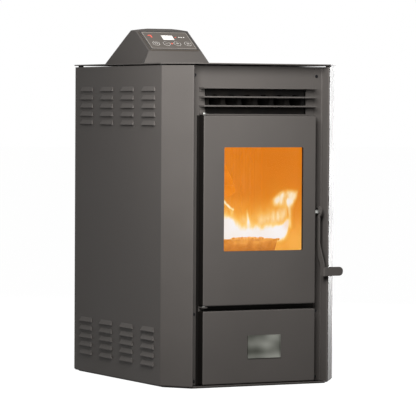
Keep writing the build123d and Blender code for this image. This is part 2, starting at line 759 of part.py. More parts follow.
def outlet_blades():
    """Folded bars across the outlet, each with a lug on the face sheet at both ends."""
    blades = []
    for row in range(BLADE_COUNT):
        top = Z_DOOR_TOP + BLADE_TOP - row * BLADE_PITCH
        bar = block(-X_DOOR, X_DOOR, Y_DOOR, Y_FACE, top - BLADE_T, top)
        nose = bar.edges().filter_by(Axis.X).group_by(Axis.Y)[0]
        bar = fillet(nose, BLADE_T * 0.4)
        for side in (-1, 1):
            x = side * (X_DOOR - BLADE_LUG_W / 2)
            half = BLADE_LUG_W / 2
            lug = block(x - half, x + half, Y_FACE - FRAME_T, Y_FACE, top - BLADE_LUG_H, top)
            bar = bar + lug
        blades.append(bar)
    return gathered(blades)


def rear_panel():
    x = X_SIDE - SIDE_T - FLAT_GAP - BEND_R / 2
    y1 = Y_REAR_IN + REAR_T
    sheet = block(-x, x, Y_REAR_IN, y1, PLINTH_H + PAN_FLANGE_H, Z_PANEL_TOP)
    lo = Y_REAR_IN - 1
    hi = y1 + 1
    sheet = sheet - rod((X_FLUE, lo, Z_FLUE), (X_FLUE, hi, Z_FLUE), FLUE_R + PIPE_GAP)
    sheet = sheet - rod((INTAKE_X, lo, Z_INTAKE), (INTAKE_X, hi, Z_INTAKE), INTAKE_R + PIPE_GAP)
    half_w = INLET_W / 2 + FLAT_GAP
    half_h = INLET_H / 2 + FLAT_GAP
    sheet = sheet - block(INLET_X - half_w, INLET_X + half_w, lo, hi, INLET_Z - half_h, INLET_Z + half_h)
    slots = []
    for column in range(VENT_COLUMNS):
        for row in range(VENT_ROWS):
            cx = BLOWER_X0 + VENT_SIDE + column * VENT_PITCH_X
            cz = Z_PANEL + VENT_FOOT + row * VENT_PITCH_Z
            slots.append(block(cx - VENT_W / 2, cx + VENT_W / 2, lo, hi, cz - VENT_H / 2, cz + VENT_H / 2))
    for side_x in (-rear_screw_x(), rear_screw_x()):
        for z in rear_screw_heights():
            slots.append(rod((side_x, lo, z), (side_x, hi, z), SCREW_R + SCREW_HOLE_GAP))
    return sheet - slots


def top_plate():
    plate = plan_plate(-TOP_OVERHANG, Z_TOP, Z_CONSOLE, BEND_R + TOP_OVERHANG)
    mouth = block(HOPPER_X0, X_HOPPER1, Y_HOPPER0, Y_HOPPER1, Z_TOP - 1, Z_CONSOLE + 1)
    y = Y_CONSOLE + CONSOLE_CREST - CABLE_D / 2
    x0 = CONSOLE_X0 + CABLE_INSET
    wiring = block(x0, X_CONSOLE1 - CABLE_INSET, y, y + CABLE_D, Z_TOP - 1, Z_CONSOLE + 1)
    return plate - mouth - wiring


def top_frame():
    """Angle frame inside the panels' top edges, closed between face sheet and rear panel."""
    top = Z_PANEL_TOP
    outer = plan_plate(SIDE_T, top - FRAME_H, top)
    core = plan_plate(SIDE_T + FRAME_SHEET, top - FRAME_H - 1, top - FRAME_SHEET)
    hole = plan_plate(SIDE_T + FRAME_LEG, top - FRAME_H - 1, top + 1)
    ring = outer - core - hole
    inner_front = block(-X_SIDE, X_SIDE, Y_FACE_BACK, Y_FACE_BACK + FRAME_LEG, top - FRAME_SHEET, top)
    inner_rear = block(-X_SIDE, X_SIDE, Y_REAR_IN - FRAME_LEG, Y_REAR_IN, top - FRAME_SHEET, top)
    plan = plan_plate(SIDE_T, top - FRAME_H, top)
    span = block(-X_SIDE, X_SIDE, Y_FACE_BACK, Y_REAR_IN, top - FRAME_H - 1, top + 1)
    return (ring + (inner_front & plan) + (inner_rear & plan)) & span


def top_spacers():
    xs = X_SIDE - SIDE_T - FRAME_LEG / 2
    y_mid = (Y_CREASE + Y_REAR) / 2
    y_front = Y_CREASE + 2 * SPACER_R
    y_back = Y_REAR_IN - FRAME_LEG
    discs = []
    for x in (-xs, xs):
        for y in (y_front, y_mid, y_back):
            discs.append(rod((x, y, Z_PANEL_TOP), (x, y, Z_TOP), SPACER_R))
    return gathered(discs)


# ---------------------------------------------------------------- firebox and heat exchanger
def tube_xs():
    first = -(TUBE_COUNT - 1) * TUBE_PITCH / 2
    return [first + i * TUBE_PITCH for i in range(TUBE_COUNT)]


def auger_point(distance, lift=0.0):
    """Point on the auger's axis below its upper end, moved off the axis by lift."""
    angle = math.radians(AUGER_ANGLE)
    y = AUGER_TOP_Y + distance * math.cos(angle) + lift * math.sin(angle)
    z = AUGER_TOP_Z - distance * math.sin(angle) + lift * math.cos(angle)
    return (POT_X, y, z)


def chute_ends():
    start = auger_point(CHUTE_R + CHUTE_BACK)
    drop = CHUTE_LENGTH * math.sqrt(0.5)
    return start, (POT_X, start[1] - drop, start[2] - drop)


def chute_rod(radius):
    start, end = chute_ends()
    return rod(start, end, radius)


def exhaust_opening(y0, y1):
    rim = MANIFOLD_RIM + MANIFOLD_T
    x0 = MANIFOLD_X0 + rim
    x1 = MANIFOLD_X0 + MANIFOLD_W - rim
    return block(x0, x1, y0, y1, Z_OPENING + MANIFOLD_RIM, Z_OPENING + MANIFOLD_TOP - rim)


def firebox_floor():
    """Floor strips round the two slots that let the ash fall, one along each side."""
    x = X_OPENING
    z0 = Z_OPENING - FIREBOX_T
    y0 = Y_FACE_BACK + 3 * FIREBOX_T
    y1 = y0 + SLOT_D
    edge = x - FIREBOX_T
    middle = edge - SLOT_W
    return [
        block(-x, x, Y_FACE_BACK, y0, z0, Z_OPENING),
        block(-x, x, y1, Y_FIREBOX_REAR - FIREBOX_T, z0, Z_OPENING),
        block(-x, -edge, y0, y1, z0, Z_OPENING),
        block(edge, x, y0, y1, z0, Z_OPENING),
        block(-middle, middle, y0, y1, z0, Z_OPENING),
    ]


def firebox_rear(tube_holes):
    """Rear plate with the holes for tubes, intake, igniter, feed chute and exhaust."""
    t = FIREBOX_T
    x = X_OPENING
    y0 = Y_FIREBOX_REAR - t
    y1 = Y_FIREBOX_REAR
    lo = y0 - 1
    hi = y1 + 1
    plate = block(-x, x, y0, y1, Z_OPENING - t, Z_FIREBOX_TOP - t)
    intake = rod((INTAKE_X, lo, Z_INTAKE), (INTAKE_X, hi, Z_INTAKE), INTAKE_R + FLAT_GAP)
    spark = rod((IGNITER_X, lo, Z_IGNITER), (IGNITER_X, hi, Z_IGNITER), IGNITER_R + FLAT_GAP)
    feed = chute_rod(CHUTE_R + FLAT_GAP)
    return plate - tube_holes - intake - spark - feed - exhaust_opening(lo, hi)


def firebox():
    """Box welded from plates: open to the door, tubes across its top, sides down to the base pan."""
    t = FIREBOX_T
    x = X_OPENING
    y0 = Y_FACE_BACK
    y1 = Y_FIREBOX_REAR
    z1 = Z_FIREBOX_TOP
    holes = [rod((cx, y0 - 1, Z_TUBES), (cx, y1 + 1, Z_TUBES), TUBE_R + TUBE_FIT) for cx in tube_xs()]
    side = block(x, x + t, y0, y1, PAN_T, z1)
    ledge = block(x - LEDGE_W, x, y0 + t, y1 - t, Z_LEDGE - LEDGE_T, Z_LEDGE)
    roof = block(-x, x, y0, y1, z1 - t, z1)
    front = block(-x, x, y0, y0 + t, Z_OPENING_TOP, z1 - t) - holes
    z = Z_OPENING + LINER_FOOT
    liner_ledge = block(-x / 2, x / 2, y1 - t - LINER_T, y1 - t, z - t, z)
    plates = [side, ledge, roof, front, firebox_rear(holes), liner_ledge]
    plates.append(mirror(side, about=Plane.YZ))
    plates.append(mirror(ledge, about=Plane.YZ))
    return gathered(plates + firebox_floor())


def fire_back():
    """Cast liner on the rear wall with upright ribs and a hole for the feed chute."""
    y1 = Y_FIREBOX_REAR - FIREBOX_T
    y0 = y1 - LINER_T
    x = X_OPENING - LINER_GAP
    z0 = Z_OPENING + LINER_FOOT
    z1 = z0 + LINER_H
    liner = block(-x, x, y0, y1, z0, z1)
    pitch = 2 * x / (LINER_RIBS + 1)
    for i in range(LINER_RIBS):
        cx = -x + pitch * (i + 1)
        rib = block(cx - pitch / 4, cx + pitch / 4, y0 - LINER_RIB, y0, z0 + LINER_END, z1 - LINER_END)
        liner = liner + chamfer(rib.edges().filter_by(Axis.Z).group_by(Axis.Y)[0], LINER_RIB / 2)
    return liner - chute_rod(CHUTE_R + CHUTE_GAP)


def heat_tubes():
    y0 = Y_FACE_BACK
    y1 = Y_FIREBOX_REAR + TUBE_PROUD
    tubes = [pipe((x, y0, Z_TUBES), (x, y1, Z_TUBES), TUBE_R, TUBE_T) for x in tube_xs()]
    return gathered(tubes)


def flame_baffle():
    """Loose plate on the side ledges, cranked down at its front edge."""
    x = X_OPENING - BAFFLE_GAP
    y0 = Y_FACE_BACK + FIREBOX_T + BAFFLE_GAP
    y1 = Y_FIREBOX_REAR - FIREBOX_T - BAFFLE_SLOT
    plate = block(-x, x, y0, y1, Z_LEDGE, Z_LEDGE + BAFFLE_T)
    lip_x = x - LEDGE_W - BAFFLE_GAP
    lip = block(-lip_x, lip_x, y0, y0 + BAFFLE_T, Z_LEDGE - BAFFLE_LIP, Z_LEDGE)
    return plate + lip


def ellipse_plate(a, b, z0, z1):
    return extrude(Pos(POT_X, Y_POT, z0) * Ellipse(a, b), amount=z1 - z0)


def tapered_cup(a, b, z0, z1, taper):
    low = Pos(POT_X, Y_POT, z0) * Ellipse(a - taper, b - taper)
    high = Pos(POT_X, Y_POT, z1) * Ellipse(a, b)
    return loft([low, high])


def burn_pot():
    """Oval cast pot: a cup with a seat flange on the air box and a thick rim."""
    z0 = Z_POT_SEAT - POT_T
    cup = tapered_cup(POT_A, POT_B, z0, Z_POT_RIM, POT_TAPER)
    cup = cup + ellipse_plate(POT_A + POT_RIM, POT_B + POT_RIM, Z_POT_RIM - POT_RIM, Z_POT_RIM)
    seat = ellipse_plate(POT_A - POT_SEAT_IN, POT_B - POT_SEAT_IN, Z_POT_SEAT, Z_POT_SEAT + POT_T)
    cup = cup + seat
    inner = tapered_cup(POT_A - POT_T, POT_B - POT_T, z0 + POT_T, Z_POT_RIM + 0.5, POT_TAPER)
    cup = cup - inner
    holes = []
    for i in range(POT_HOLES):
        angle = 2 * math.pi * i / POT_HOLES
        x = POT_X + (POT_A - POT_TAPER) * 0.6 * math.cos(angle)
        y = Y_POT + (POT_B - POT_TAPER) * 0.55 * math.sin(angle)
        holes.append(rod((x, y, z0 - 1), (x, y, z0 + POT_T + 1), POT_HOLE_R))
    return cup - holes


def air_box():
    """Oval drum on the firebox floor that feeds air up through the pot."""
    a = POT_A - POT_SEAT_IN + BOX_MARGIN
    b = POT_B - POT_SEAT_IN + BOX_MARGIN
    drum = ellipse_plate(a, b, Z_OPENING, Z_POT_SEAT)
    drum = drum - ellipse_plate(a - BOX_T, b - BOX_T, Z_OPENING + BOX_T, Z_POT_SEAT - BOX_T)
    foot = POT_FIT - POT_TAPER
    mouth = ellipse_plate(POT_A + foot, POT_B + foot, Z_POT_SEAT - BOX_T - 1, Z_POT_SEAT + 1)
    drum = drum - mouth
    hole = rod((INTAKE_X, Y_POT, Z_INTAKE), (INTAKE_X, Y_POT + b + 1, Z_INTAKE), INTAKE_R + FLAT_GAP)
    spark = rod((IGNITER_X, Y_POT + b / 2, Z_IGNITER), (IGNITER_X, Y_POT + b + 1, Z_IGNITER), IGNITER_R + 1)
    return drum - hole - spark


def cover_ring(x, z, radius):
    """Ring round a pipe on the outside of the rear panel."""
    y = Y_REAR_IN + REAR_T
    return pipe((x, y, z), (x, y + COVER_T, z), radius + COVER_W, COVER_W + COVER_FIT)


def intake_pipe():
    inside = Y_POT + (POT_B - POT_SEAT_IN + BOX_MARGIN) - BOX_T - INTAKE_END
    end = Y_REAR + INTAKE_OUT
    tube = pipe((INTAKE_X, inside, Z_INTAKE), (INTAKE_X, end, Z_INTAKE), INTAKE_R, INTAKE_T)
    return tube + cover_ring(INTAKE_X, Z_INTAKE, INTAKE_R)


def igniter():
    """Ceramic rod in its holder, fixed to the firebox's rear wall."""
    z = Z_IGNITER
    y1 = Y_FIREBOX_REAR
    heater = rod((IGNITER_X, y1 - IGNITER_L, z), (IGNITER_X, y1, z), IGNITER_R)
    flange = rod((IGNITER_X, y1, z), (IGNITER_X, y1 + IGNITER_FLANGE_T, z), IGNITER_FLANGE_R)
    head = rod((IGNITER_X, y1, z), (IGNITER_X, y1 + IGNITER_TAIL, z), IGNITER_HEAD_R)
    return heater + flange + head


# ---------------------------------------------------------------- exhaust side
def exhaust_manifold():
    """Sheet box from the firebox's exhaust opening down to the fan's eye."""
    x0 = MANIFOLD_X0
    x1 = X_EXHAUST0
    y0 = Y_FIREBOX_REAR
    z1 = Z_OPENING + MANIFOLD_TOP
    t = MANIFOLD_T
    box = block(x0, x1, y0, y0 + MANIFOLD_D, MANIFOLD_FOOT, z1)
    box = box - block(x0 + t, x1 - t, y0 + t, y0 + MANIFOLD_D - t, MANIFOLD_FOOT + t, z1 - t)
    box = box - exhaust_opening(y0 - 1, y0 + t + 1)
    return box - rod((x1 - t - 1, Y_EXHAUST, EXHAUST_Z), (x1 + 1, Y_EXHAUST, EXHAUST_Z), EYE_R)


def exhaust_blower_housing():
    """Scroll with its eye on the manifold and its outlet to the rear, at the foot."""
    place = Plane(origin=(X_EXHAUST1, Y_EXHAUST, EXHAUST_Z), x_dir=(0, 0, 1), z_dir=(-1, 0, 0))
    body = scroll_housing(place, EXHAUST_W, EXHAUST_NECK)
    eye = rod((X_EXHAUST0 - 1, Y_EXHAUST, EXHAUST_Z), (X_EXHAUST0 + 4, Y_EXHAUST, EXHAUST_Z), EYE_R)
    back = rod((X_EXHAUST1 - 4, Y_EXHAUST, EXHAUST_Z), (X_EXHAUST1 + 1, Y_EXHAUST, EXHAUST_Z), FAN_SHAFT_R * 2)
    y1 = Y_EXHAUST + EXHAUST_NECK
    half = FLUE_FLANGE / 2
    plate = block(X_FLUE - half, X_FLUE + half, y1 - FLUE_FLANGE_T, y1, Z_FLUE - half, Z_FLUE + half)
    plate = plate - block(X_EXHAUST0, X_EXHAUST1, y1 - 4, y1 + 1, Z_FLUE - NECK_W / 2, Z_FLUE + NECK_W / 2)
    return body + plate - eye - back


def flue_collar():
    y0 = Y_EXHAUST + EXHAUST_NECK
    half = FLUE_FLANGE / 2
    plate = block(X_FLUE - half, X_FLUE + half, y0, y0 + FLUE_FLANGE_T, Z_FLUE - half, Z_FLUE + half)
    out = rod((X_FLUE, y0, Z_FLUE), (X_FLUE, Y_REAR + FLUE_OUT, Z_FLUE), FLUE_R)
    bore = rod((X_FLUE, y0 - 1, Z_FLUE), (X_FLUE, Y_REAR + FLUE_OUT + 1, Z_FLUE), FLUE_R - FLUE_T)
    return plate + out + cover_ring(X_FLUE, Z_FLUE, FLUE_R) - bore


def paddle_wheel(radius, width, blades, thickness, hub_r, shaft_from, shaft_to):
    """Fan wheel about +Z: back disc at z=0, blades standing on it, hub and shaft."""
    wheel = Pos(0, 0, FAN_BACK_T / 2) * Cylinder(radius, FAN_BACK_T)
    inner = hub_r * 1.6
    blade = block(inner, radius, -thickness / 2, thickness / 2, FAN_BACK_T / 2, width)
    wheel = wheel + [Rot(0, 0, 360.0 * i / blades) * blade for i in range(blades)]
    hub = Pos(0, 0, width / 3) * Cylinder(hub_r, width * 2 / 3)
    shaft_l = shaft_to - shaft_from
    shaft = Pos(0, 0, shaft_from + shaft_l / 2) * Cylinder(FAN_SHAFT_R, shaft_l)
    return wheel + hub + shaft


def exhaust_impeller():
    """Paddle wheel facing the eye, its back disc towards the motor."""
    width = EXHAUST_W - 2 * SCROLL_WALL - 2 * FAN_SIDE_GAP
    wheel = paddle_wheel(
        FAN_R, width, FAN_BLADES, FAN_BLADE_T, FAN_SHAFT_R * 2, -FAN_SHAFT_L, width * 2 / 3
    )
    place = Plane(
        origin=(X_EXHAUST1 - SCROLL_WALL - FAN_SIDE_GAP, Y_EXHAUST, EXHAUST_Z),
        x_dir=(0, 1, 0),
        z_dir=(-1, 0, 0),
    )
    return place * wheel


def fan_motor(x0, x1, y, z, way):
    """Round motor along X with a blind bore for the fan's shaft, bored in the way given."""
    body = rod((x0, y, z), (x1, y, z), MOTOR_R)
    body = chamfer(body.edges(), MOTOR_CHAMFER)
    face = x0 if way > 0 else x1
    bore = rod((face - way, y, z), (face + way * MOTOR_BORE_L, y, z), FAN_SHAFT_R + RUN_GAP)
    return body - bore


def exhaust_motor():
    x0 = X_EXHAUST1
    return fan_motor(x0, x0 + MOTOR_L, Y_EXHAUST, EXHAUST_Z, 1)


# ---------------------------------------------------------------- room-air side
def air_blower_housing():
    """Scroll on a folded foot, its eye to the middle of the stove and its outlet up the duct."""
    place = Plane(origin=(BLOWER_X0, Y_BLOWER, BLOWER_Z), x_dir=(0, 1, 0), z_dir=(1, 0, 0))
    body = scroll_housing(place, BLOWER_W, BLOWER_NECK)
    solid = extrude(place * scroll_face(0, BLOWER_NECK), amount=BLOWER_W)
    eye = rod((X_BLOWER1 - 4, Y_BLOWER, BLOWER_Z), (X_BLOWER1 + 1, Y_BLOWER, BLOWER_Z), EYE_R * 1.3)
    shaft = rod((BLOWER_X0 - 1, Y_BLOWER, BLOWER_Z), (BLOWER_X0 + 4, Y_BLOWER, BLOWER_Z), FAN_SHAFT_R * 2)
    y0 = Y_BLOWER - BLOWER_FOOT_D / 2
    y1 = Y_BLOWER + BLOWER_FOOT_D / 2
    t = BLOWER_FOOT_T
    foot = block(BLOWER_X0, X_BLOWER1, y0, y1, PAN_T, BLOWER_Z)
    foot = foot - block(BLOWER_X0 + t, X_BLOWER1 - t, y0 - 1, y1 + 1, PAN_T + t, BLOWER_Z)
    return body + (foot - solid) - eye - shaft


def blower_wheel():
    width = BLOWER_W - 2 * SCROLL_WALL - 2 * FAN_SIDE_GAP
    wheel = Pos(0, 0, FAN_BACK_T / 2) * Cylinder(FAN_R, FAN_BACK_T)
    ring_z = width - FAN_BACK_T / 2
    ring = Pos(0, 0, ring_z) * (Cylinder(FAN_R, FAN_BACK_T) - Cylinder(FAN_R - FAN_RING_W, FAN_BACK_T * 2))
    vane = Rot(0, 0, VANE_ANGLE) * Box(VANE_W, FAN_BLADE_T, width - FAN_BACK_T)
    blade = Pos(FAN_R - VANE_IN, 0, width / 2) * vane
    wheel = wheel + ring + [Rot(0, 0, 360.0 * i / BLOWER_BLADES) * blade for i in range(BLOWER_BLADES)]
    wheel = wheel + Pos(0, 0, width / 4) * Cylinder(FAN_SHAFT_R * 2, width / 2)
    shaft_l = FAN_SHAFT_L + width / 4
    wheel = wheel + Pos(0, 0, width / 4 - shaft_l / 2) * Cylinder(FAN_SHAFT_R, shaft_l)
    place = Plane(
        origin=(BLOWER_X0 + SCROLL_WALL + FAN_SIDE_GAP, Y_BLOWER, BLOWER_Z),
        x_dir=(0, 1, 0),
        z_dir=(1, 0, 0),
    )
    return place * wheel


def blower_motor():
    x1 = BLOWER_X0
    return fan_motor(x1 - MOTOR_L, x1, Y_BLOWER, BLOWER_Z, -1)


def air_duct():
    """Sheet duct up the firebox's back: a channel from the blower, a header behind the tubes."""
    y0 = Y_FIREBOX_REAR
    y1 = y0 + DUCT_D
    t = DUCT_T
    z0 = BLOWER_Z + BLOWER_NECK
    z2 = Z_FIREBOX_TOP
    z1 = z2 - DUCT_HEAD
    duct = block(-X_FIREBOX, X_BLOWER1, y0, y1, z0, z2)
    duct = duct + block(-X_FIREBOX, X_FIREBOX, y0, y1, z1, z2)
    duct = duct - block(-X_FIREBOX + t, X_BLOWER1 - t, y0 - 1, y1 - t, z0 - 1, z2 - t)
    return duct - block(-X_FIREBOX + t, X_FIREBOX - t, y0 - 1, y1 - t, z1 + t, z2 - t)


# ---------------------------------------------------------------- hopper and auger
def hopper_corners(inset):
    """Corners of the straight part and of the spout, in plan, anticlockwise from the front left."""
    x0 = HOPPER_X0 + inset
    x1 = X_HOPPER1 - inset
    y0 = Y_HOPPER0 + inset
    y1 = Y_HOPPER1 - inset
    upper = [(x0, y0), (x1, y0), (x1, y1), (x0, y1)]
    x0 = POT_X - SPOUT_W / 2 + inset
    x1 = POT_X + SPOUT_W / 2 - inset
    y0 = SPOUT_Y0 + inset
    y1 = SPOUT_Y0 + SPOUT_D - inset
    lower = [(x0, y0), (x1, y0), (x1, y1), (x0, y1)]
    return upper, lower


def hopper_panels():
    """Four upright walls and four sloping panels down to the auger's spout, mitred at the corners."""
    knee = Z_TOP - HOPPER_STRAIGHT
    upper, lower = hopper_corners(0)
    upper_in, lower_in = hopper_corners(HOPPER_T)
    panels = []
    for i in range(4):
        j = (i + 1) % 4
        wall = make_face(Polyline(upper[i], upper[j], upper_in[j], upper_in[i], close=True))
        foot = make_face(Polyline(lower[i], lower[j], lower_in[j], lower_in[i], close=True))
        panels.append(extrude(Pos(0, 0, knee) * wall, amount=HOPPER_STRAIGHT))
        panels.append(loft([Pos(0, 0, SPOUT_TOP_Z) * foot, Pos(0, 0, knee) * wall], ruled=True))
    return panels


def hopper():
    """Welded sheet funnel, flanged under the top plate, with a ledge inside for the lid's seal."""
    x0 = HOPPER_X0
    x1 = X_HOPPER1
    y0 = Y_HOPPER0
    y1 = Y_HOPPER1
    y = y1 - LID_REAR_GAP - LID_PIN_IN
    z = Z_CONSOLE - LID_PIN_DROP
    pin_hole = rod((x0 - 1, y, z), (x1 + 1, y, z), LID_PIN_R)
    panels = [panel - pin_hole for panel in hopper_panels()]
    f = HOPPER_FLANGE
    low = Z_TOP - HOPPER_LIP_T
    lips = [
        block(x0 - f, x0, y0 - f, y1 + f / 2, low, Z_TOP),
        block(x0, x1, y0 - f, y0, low, Z_TOP),
        block(x0, x1, y1, y1 + f / 2, low, Z_TOP),
    ]
    t = HOPPER_T
    w = HOPPER_LEDGE_W
    high = Z_TOP - HOPPER_LEDGE_DROP
    low = high - HOPPER_LIP_T
    ledges = [
        block(x0 + t, x0 + w, y0 + t, y1 - t, low, high),
        block(x1 - w, x1 - t, y0 + t, y1 - t, low, high),
        block(x0 + w, x1 - w, y0 + t, y0 + w, low, high),
        block(x0 + w, x1 - w, y1 - w, y1 - t, low, high),
    ]
    return gathered(panels + lips + ledges)


def lid_rect():
    return (HOPPER_X0 + LID_GAP, X_HOPPER1 - LID_GAP, Y_HOPPER0 + LID_GAP, Y_HOPPER1 - LID_REAR_GAP)


def hopper_lid():
    """Shallow folded pan flush with the top plate, with an undercut finger pocket at its front."""
    x0, x1, y0, y1 = lid_rect()
    t = LID_T
    skin = Z_CONSOLE - t
    pan = block(x0, x1, y0, y1, Z_CONSOLE - LID_SKIRT, Z_CONSOLE)
    pan = pan - block(x0 + t, x1 - t, y0 + t, y1 - t, Z_CONSOLE - LID_SKIRT - 1, skin)
    mid = (x0 + x1) / 2
    half = LID_PULL_W / 2
    py0 = y0 + HOPPER_LEDGE_W
    py1 = py0 + LID_PULL_D
    cup = block(mid - half - t, mid + half + t, py0 - t, py1 + t, skin - LID_PULL_H - t, skin)
    cup = cup - block(mid - half, mid + half, py0, py1, skin - LID_PULL_H, skin + 1)
    mouth = block(mid - half, mid + half, py0 + LID_PULL_LIP, py1, skin - 1, Z_CONSOLE + 1)
    pan = pan + cup - mouth
    y = y1 - LID_PIN_IN
    z = Z_CONSOLE - LID_PIN_DROP
    pan = pan - rod((x0 - 1, y, z), (x0 + t + 1, y, z), LID_PIN_R + RUN_GAP)
    return pan - rod((x1 - t - 1, y, z), (x1 + 1, y, z), LID_PIN_R + RUN_GAP)


def lid_gasket():
    """Flat seal on the hopper's ledge, open at the back where the lid's rear edge dips."""
    x0, x1, y0, y1 = lid_rect()
    low = Z_TOP - HOPPER_LEDGE_DROP
    high = Z_CONSOLE - LID_SKIRT - FLAT_GAP
    w = HOPPER_LEDGE_W - LID_GAP
    back = y1 - LID_PIN_IN - LID_PIN_DROP
    ring = block(x0, x1, y0, back, low, high)
    return ring - block(x0 + w, x1 - w, y0 + w, back + 1, low - 1, high + 1)


def lid_hinge_pins():
    x0, x1, _, y1 = lid_rect()
    y = y1 - LID_PIN_IN
    z = Z_CONSOLE - LID_PIN_DROP
    inside = 2 * LID_T
    left = rod((HOPPER_X0, y, z), (x0 + inside, y, z), LID_PIN_R)
    right = rod((x1 - inside, y, z), (X_HOPPER1, y, z), LID_PIN_R)
    return gathered([left, right])


def spout_block(inset, top):
    x0 = POT_X - SPOUT_W / 2 + inset
    x1 = POT_X + SPOUT_W / 2 - inset
    low = auger_point(AUGER_LENGTH)[2] - AUGER_R
    return block(x0, x1, SPOUT_Y0 + inset, SPOUT_Y0 + SPOUT_D - inset, low, top)


def spout_walls(outer, above):
    """Four walls of the inlet spout, mitred at the corners, their feet on the tube."""
    corners = hopper_corners(0)[1]
    inner = hopper_corners(AUGER_TUBE_T)[1]
    low = auger_point(AUGER_LENGTH)[2]
    walls = []
    for i in range(4):
        j = (i + 1) % 4
        face = make_face(Polyline(corners[i], corners[j], inner[j], inner[i], close=True))
        wall = extrude(Pos(0, 0, low) * face, amount=SPOUT_TOP_Z - low)
        walls.append((wall & above) - outer)
    return walls


def spout_flange():
    """Four strips round the spout's rim, under the hopper."""
    x0 = POT_X - SPOUT_W / 2
    x1 = POT_X + SPOUT_W / 2
    y0 = SPOUT_Y0
    y1 = SPOUT_Y0 + SPOUT_D
    f = SPOUT_FLANGE
    low = SPOUT_TOP_Z - SPOUT_FLANGE_T
    return [
        block(x0 - f, x1 + f, y0 - f, y0, low, SPOUT_TOP_Z),
        block(x0 - f, x1 + f, y1, y1 + f, low, SPOUT_TOP_Z),
        block(x0 - f, x0, y0, y1, low, SPOUT_TOP_Z),
        block(x1, x1 + f, y0, y1, low, SPOUT_TOP_Z),
    ]


def auger_tube():
    """Inclined tube with a drop hole near its top, and the inlet spout welded on its upper side."""
    tube_r = AUGER_R + AUGER_TUBE_T
    outer = rod(auger_point(0), auger_point(AUGER_LENGTH), tube_r)
    bore = rod(auger_point(AUGER_TUBE_T), auger_point(AUGER_LENGTH + 1), AUGER_R)
    plane = Plane(origin=auger_point(AUGER_LENGTH / 2), x_dir=(1, 0, 0), z_dir=auger_normal())
    above = plane * Pos(0, 0, AUGER_LENGTH) * Box(4 * tube_r, 4 * AUGER_LENGTH, 2 * AUGER_LENGTH)
    well = spout_block(AUGER_TUBE_T, SPOUT_TOP_Z + 1) & above
    tube = outer - bore - well - chute_rod(CHUTE_R - CHUTE_T)
    return gathered([tube] + spout_walls(outer, above) + spout_flange())


def auger_normal():
    angle = math.radians(AUGER_ANGLE)
    return (0, math.sin(angle), math.cos(angle))


def feed_chute():
    """Sloping pipe from the auger's upper end through the firebox wall."""
    outer = chute_rod(CHUTE_R)
    start, end = chute_ends()
    step = 0.01
    far = (POT_X, end[1] - step, end[2] - step)
    bore = rod(start, far, CHUTE_R - CHUTE_T)
    tube = rod(auger_point(-1), auger_point(AUGER_LENGTH), AUGER_R + AUGER_TUBE_T)
    chute = outer - bore - tube
    return chute.solids().sort_by(SortBy.VOLUME)[-1]


def auger_plane(distance):
    """Plane across the auger, its z along the auger from the top down."""
    along = Vector(*auger_point(1)) - Vector(*auger_point(0))
    return Plane(origin=auger_point(distance), x_dir=(1, 0, 0), z_dir=along)


def auger_screw():
    """Shaft with one helical flight, from near the upper end to the bushing."""
    start = AUGER_TUBE_T + AUGER_END_GAP
    length = AUGER_LENGTH - BUSH_T - start - AUGER_FLIGHT_GAP
    turns = math.floor((length - FLIGHT_T) / FLIGHT_PITCH)
    height = turns * FLIGHT_PITCH
    mid_r = (FLIGHT_R + AUGER_SHAFT_R) / 2
    path = Helix(pitch=FLIGHT_PITCH, height=height, radius=mid_r)
    web = FLIGHT_R - AUGER_SHAFT_R + 2
    section = Plane(origin=path @ 0, x_dir=(1, 0, 0), z_dir=path % 0) * Rectangle(web, FLIGHT_T)
    flight = sweep(section, path=path, is_frenet=True)
    full = length + BUSH_T + AUGER_FLIGHT_GAP + SHAFT_IN_GEARBOX
    shaft = Pos(0, 0, full / 2) * Cylinder(AUGER_SHAFT_R, full)
    screw = Pos(0, 0, FLIGHT_T + 2) * flight + shaft
    return auger_plane(start) * screw


def auger_bushing():
    ring = Cylinder(AUGER_R - RUN_GAP, BUSH_T) - Cylinder(AUGER_SHAFT_R + RUN_GAP, BUSH_T * 2)
    return auger_plane(AUGER_LENGTH - BUSH_T / 2) * ring


def auger_gearmotor():
    """Square gearbox on the tube's lower end with its motor beside the shaft line."""
    box = Pos(0, 0, GEARBOX_L / 2) * Box(GEARBOX_W, GEARBOX_W, GEARBOX_L)
    box = fillet(box.edges().filter_by(Axis.Z), GEARBOX_R)
    motor = Pos(0, 0, GEARBOX_L + GEARMOTOR_L / 2) * Cylinder(GEARMOTOR_R, GEARMOTOR_L)
    motor = chamfer(motor.edges().group_by(Axis.Z)[-1], GEARMOTOR_CHAMFER)
    bore = Pos(0, 0, SHAFT_IN_GEARBOX / 2) * Cylinder(AUGER_SHAFT_R + RUN_GAP, SHAFT_IN_GEARBOX + 2)
    return auger_plane(AUGER_LENGTH) * (box + motor - bore)


# ---------------------------------------------------------------- door
def folded_front(width, x0, z0, height):
    """Front panel folded back on all four edges, its front edges rounded."""
    skin = block(x0, x0 + width, Y_DOOR, Y_DOOR_BACK, z0, z0 + height)
    front = skin.edges().group_by(Axis.Y)[0]
    corners = skin.edges().filter_by(Axis.Y)
    skin = fillet(front + corners, EDGE_R)
    t = DOOR_T
    hollow = block(x0 + t, x0 + width - t, Y_DOOR + t, Y_DOOR_BACK + 1, z0 + t, z0 + height - t)
    return skin - hollow


def seal_rect(grow):
    x = X_DOOR - SEAL_INSET + grow
    return (-x, x, Z_DOOR + SEAL_INSET - grow, Z_DOOR_TOP - SEAL_INSET + grow)


def clip_places():
    places = []
    quarter = (X_WINDOW1 - X_WINDOW0) / 4
    for x in (X_WINDOW0 + quarter, X_WINDOW1 - quarter):
        places.append((x, Z_WINDOW1 + GLASS_LAP, 1))
        places.append((x, Z_WINDOW0 - GLASS_LAP, -1))
    return places


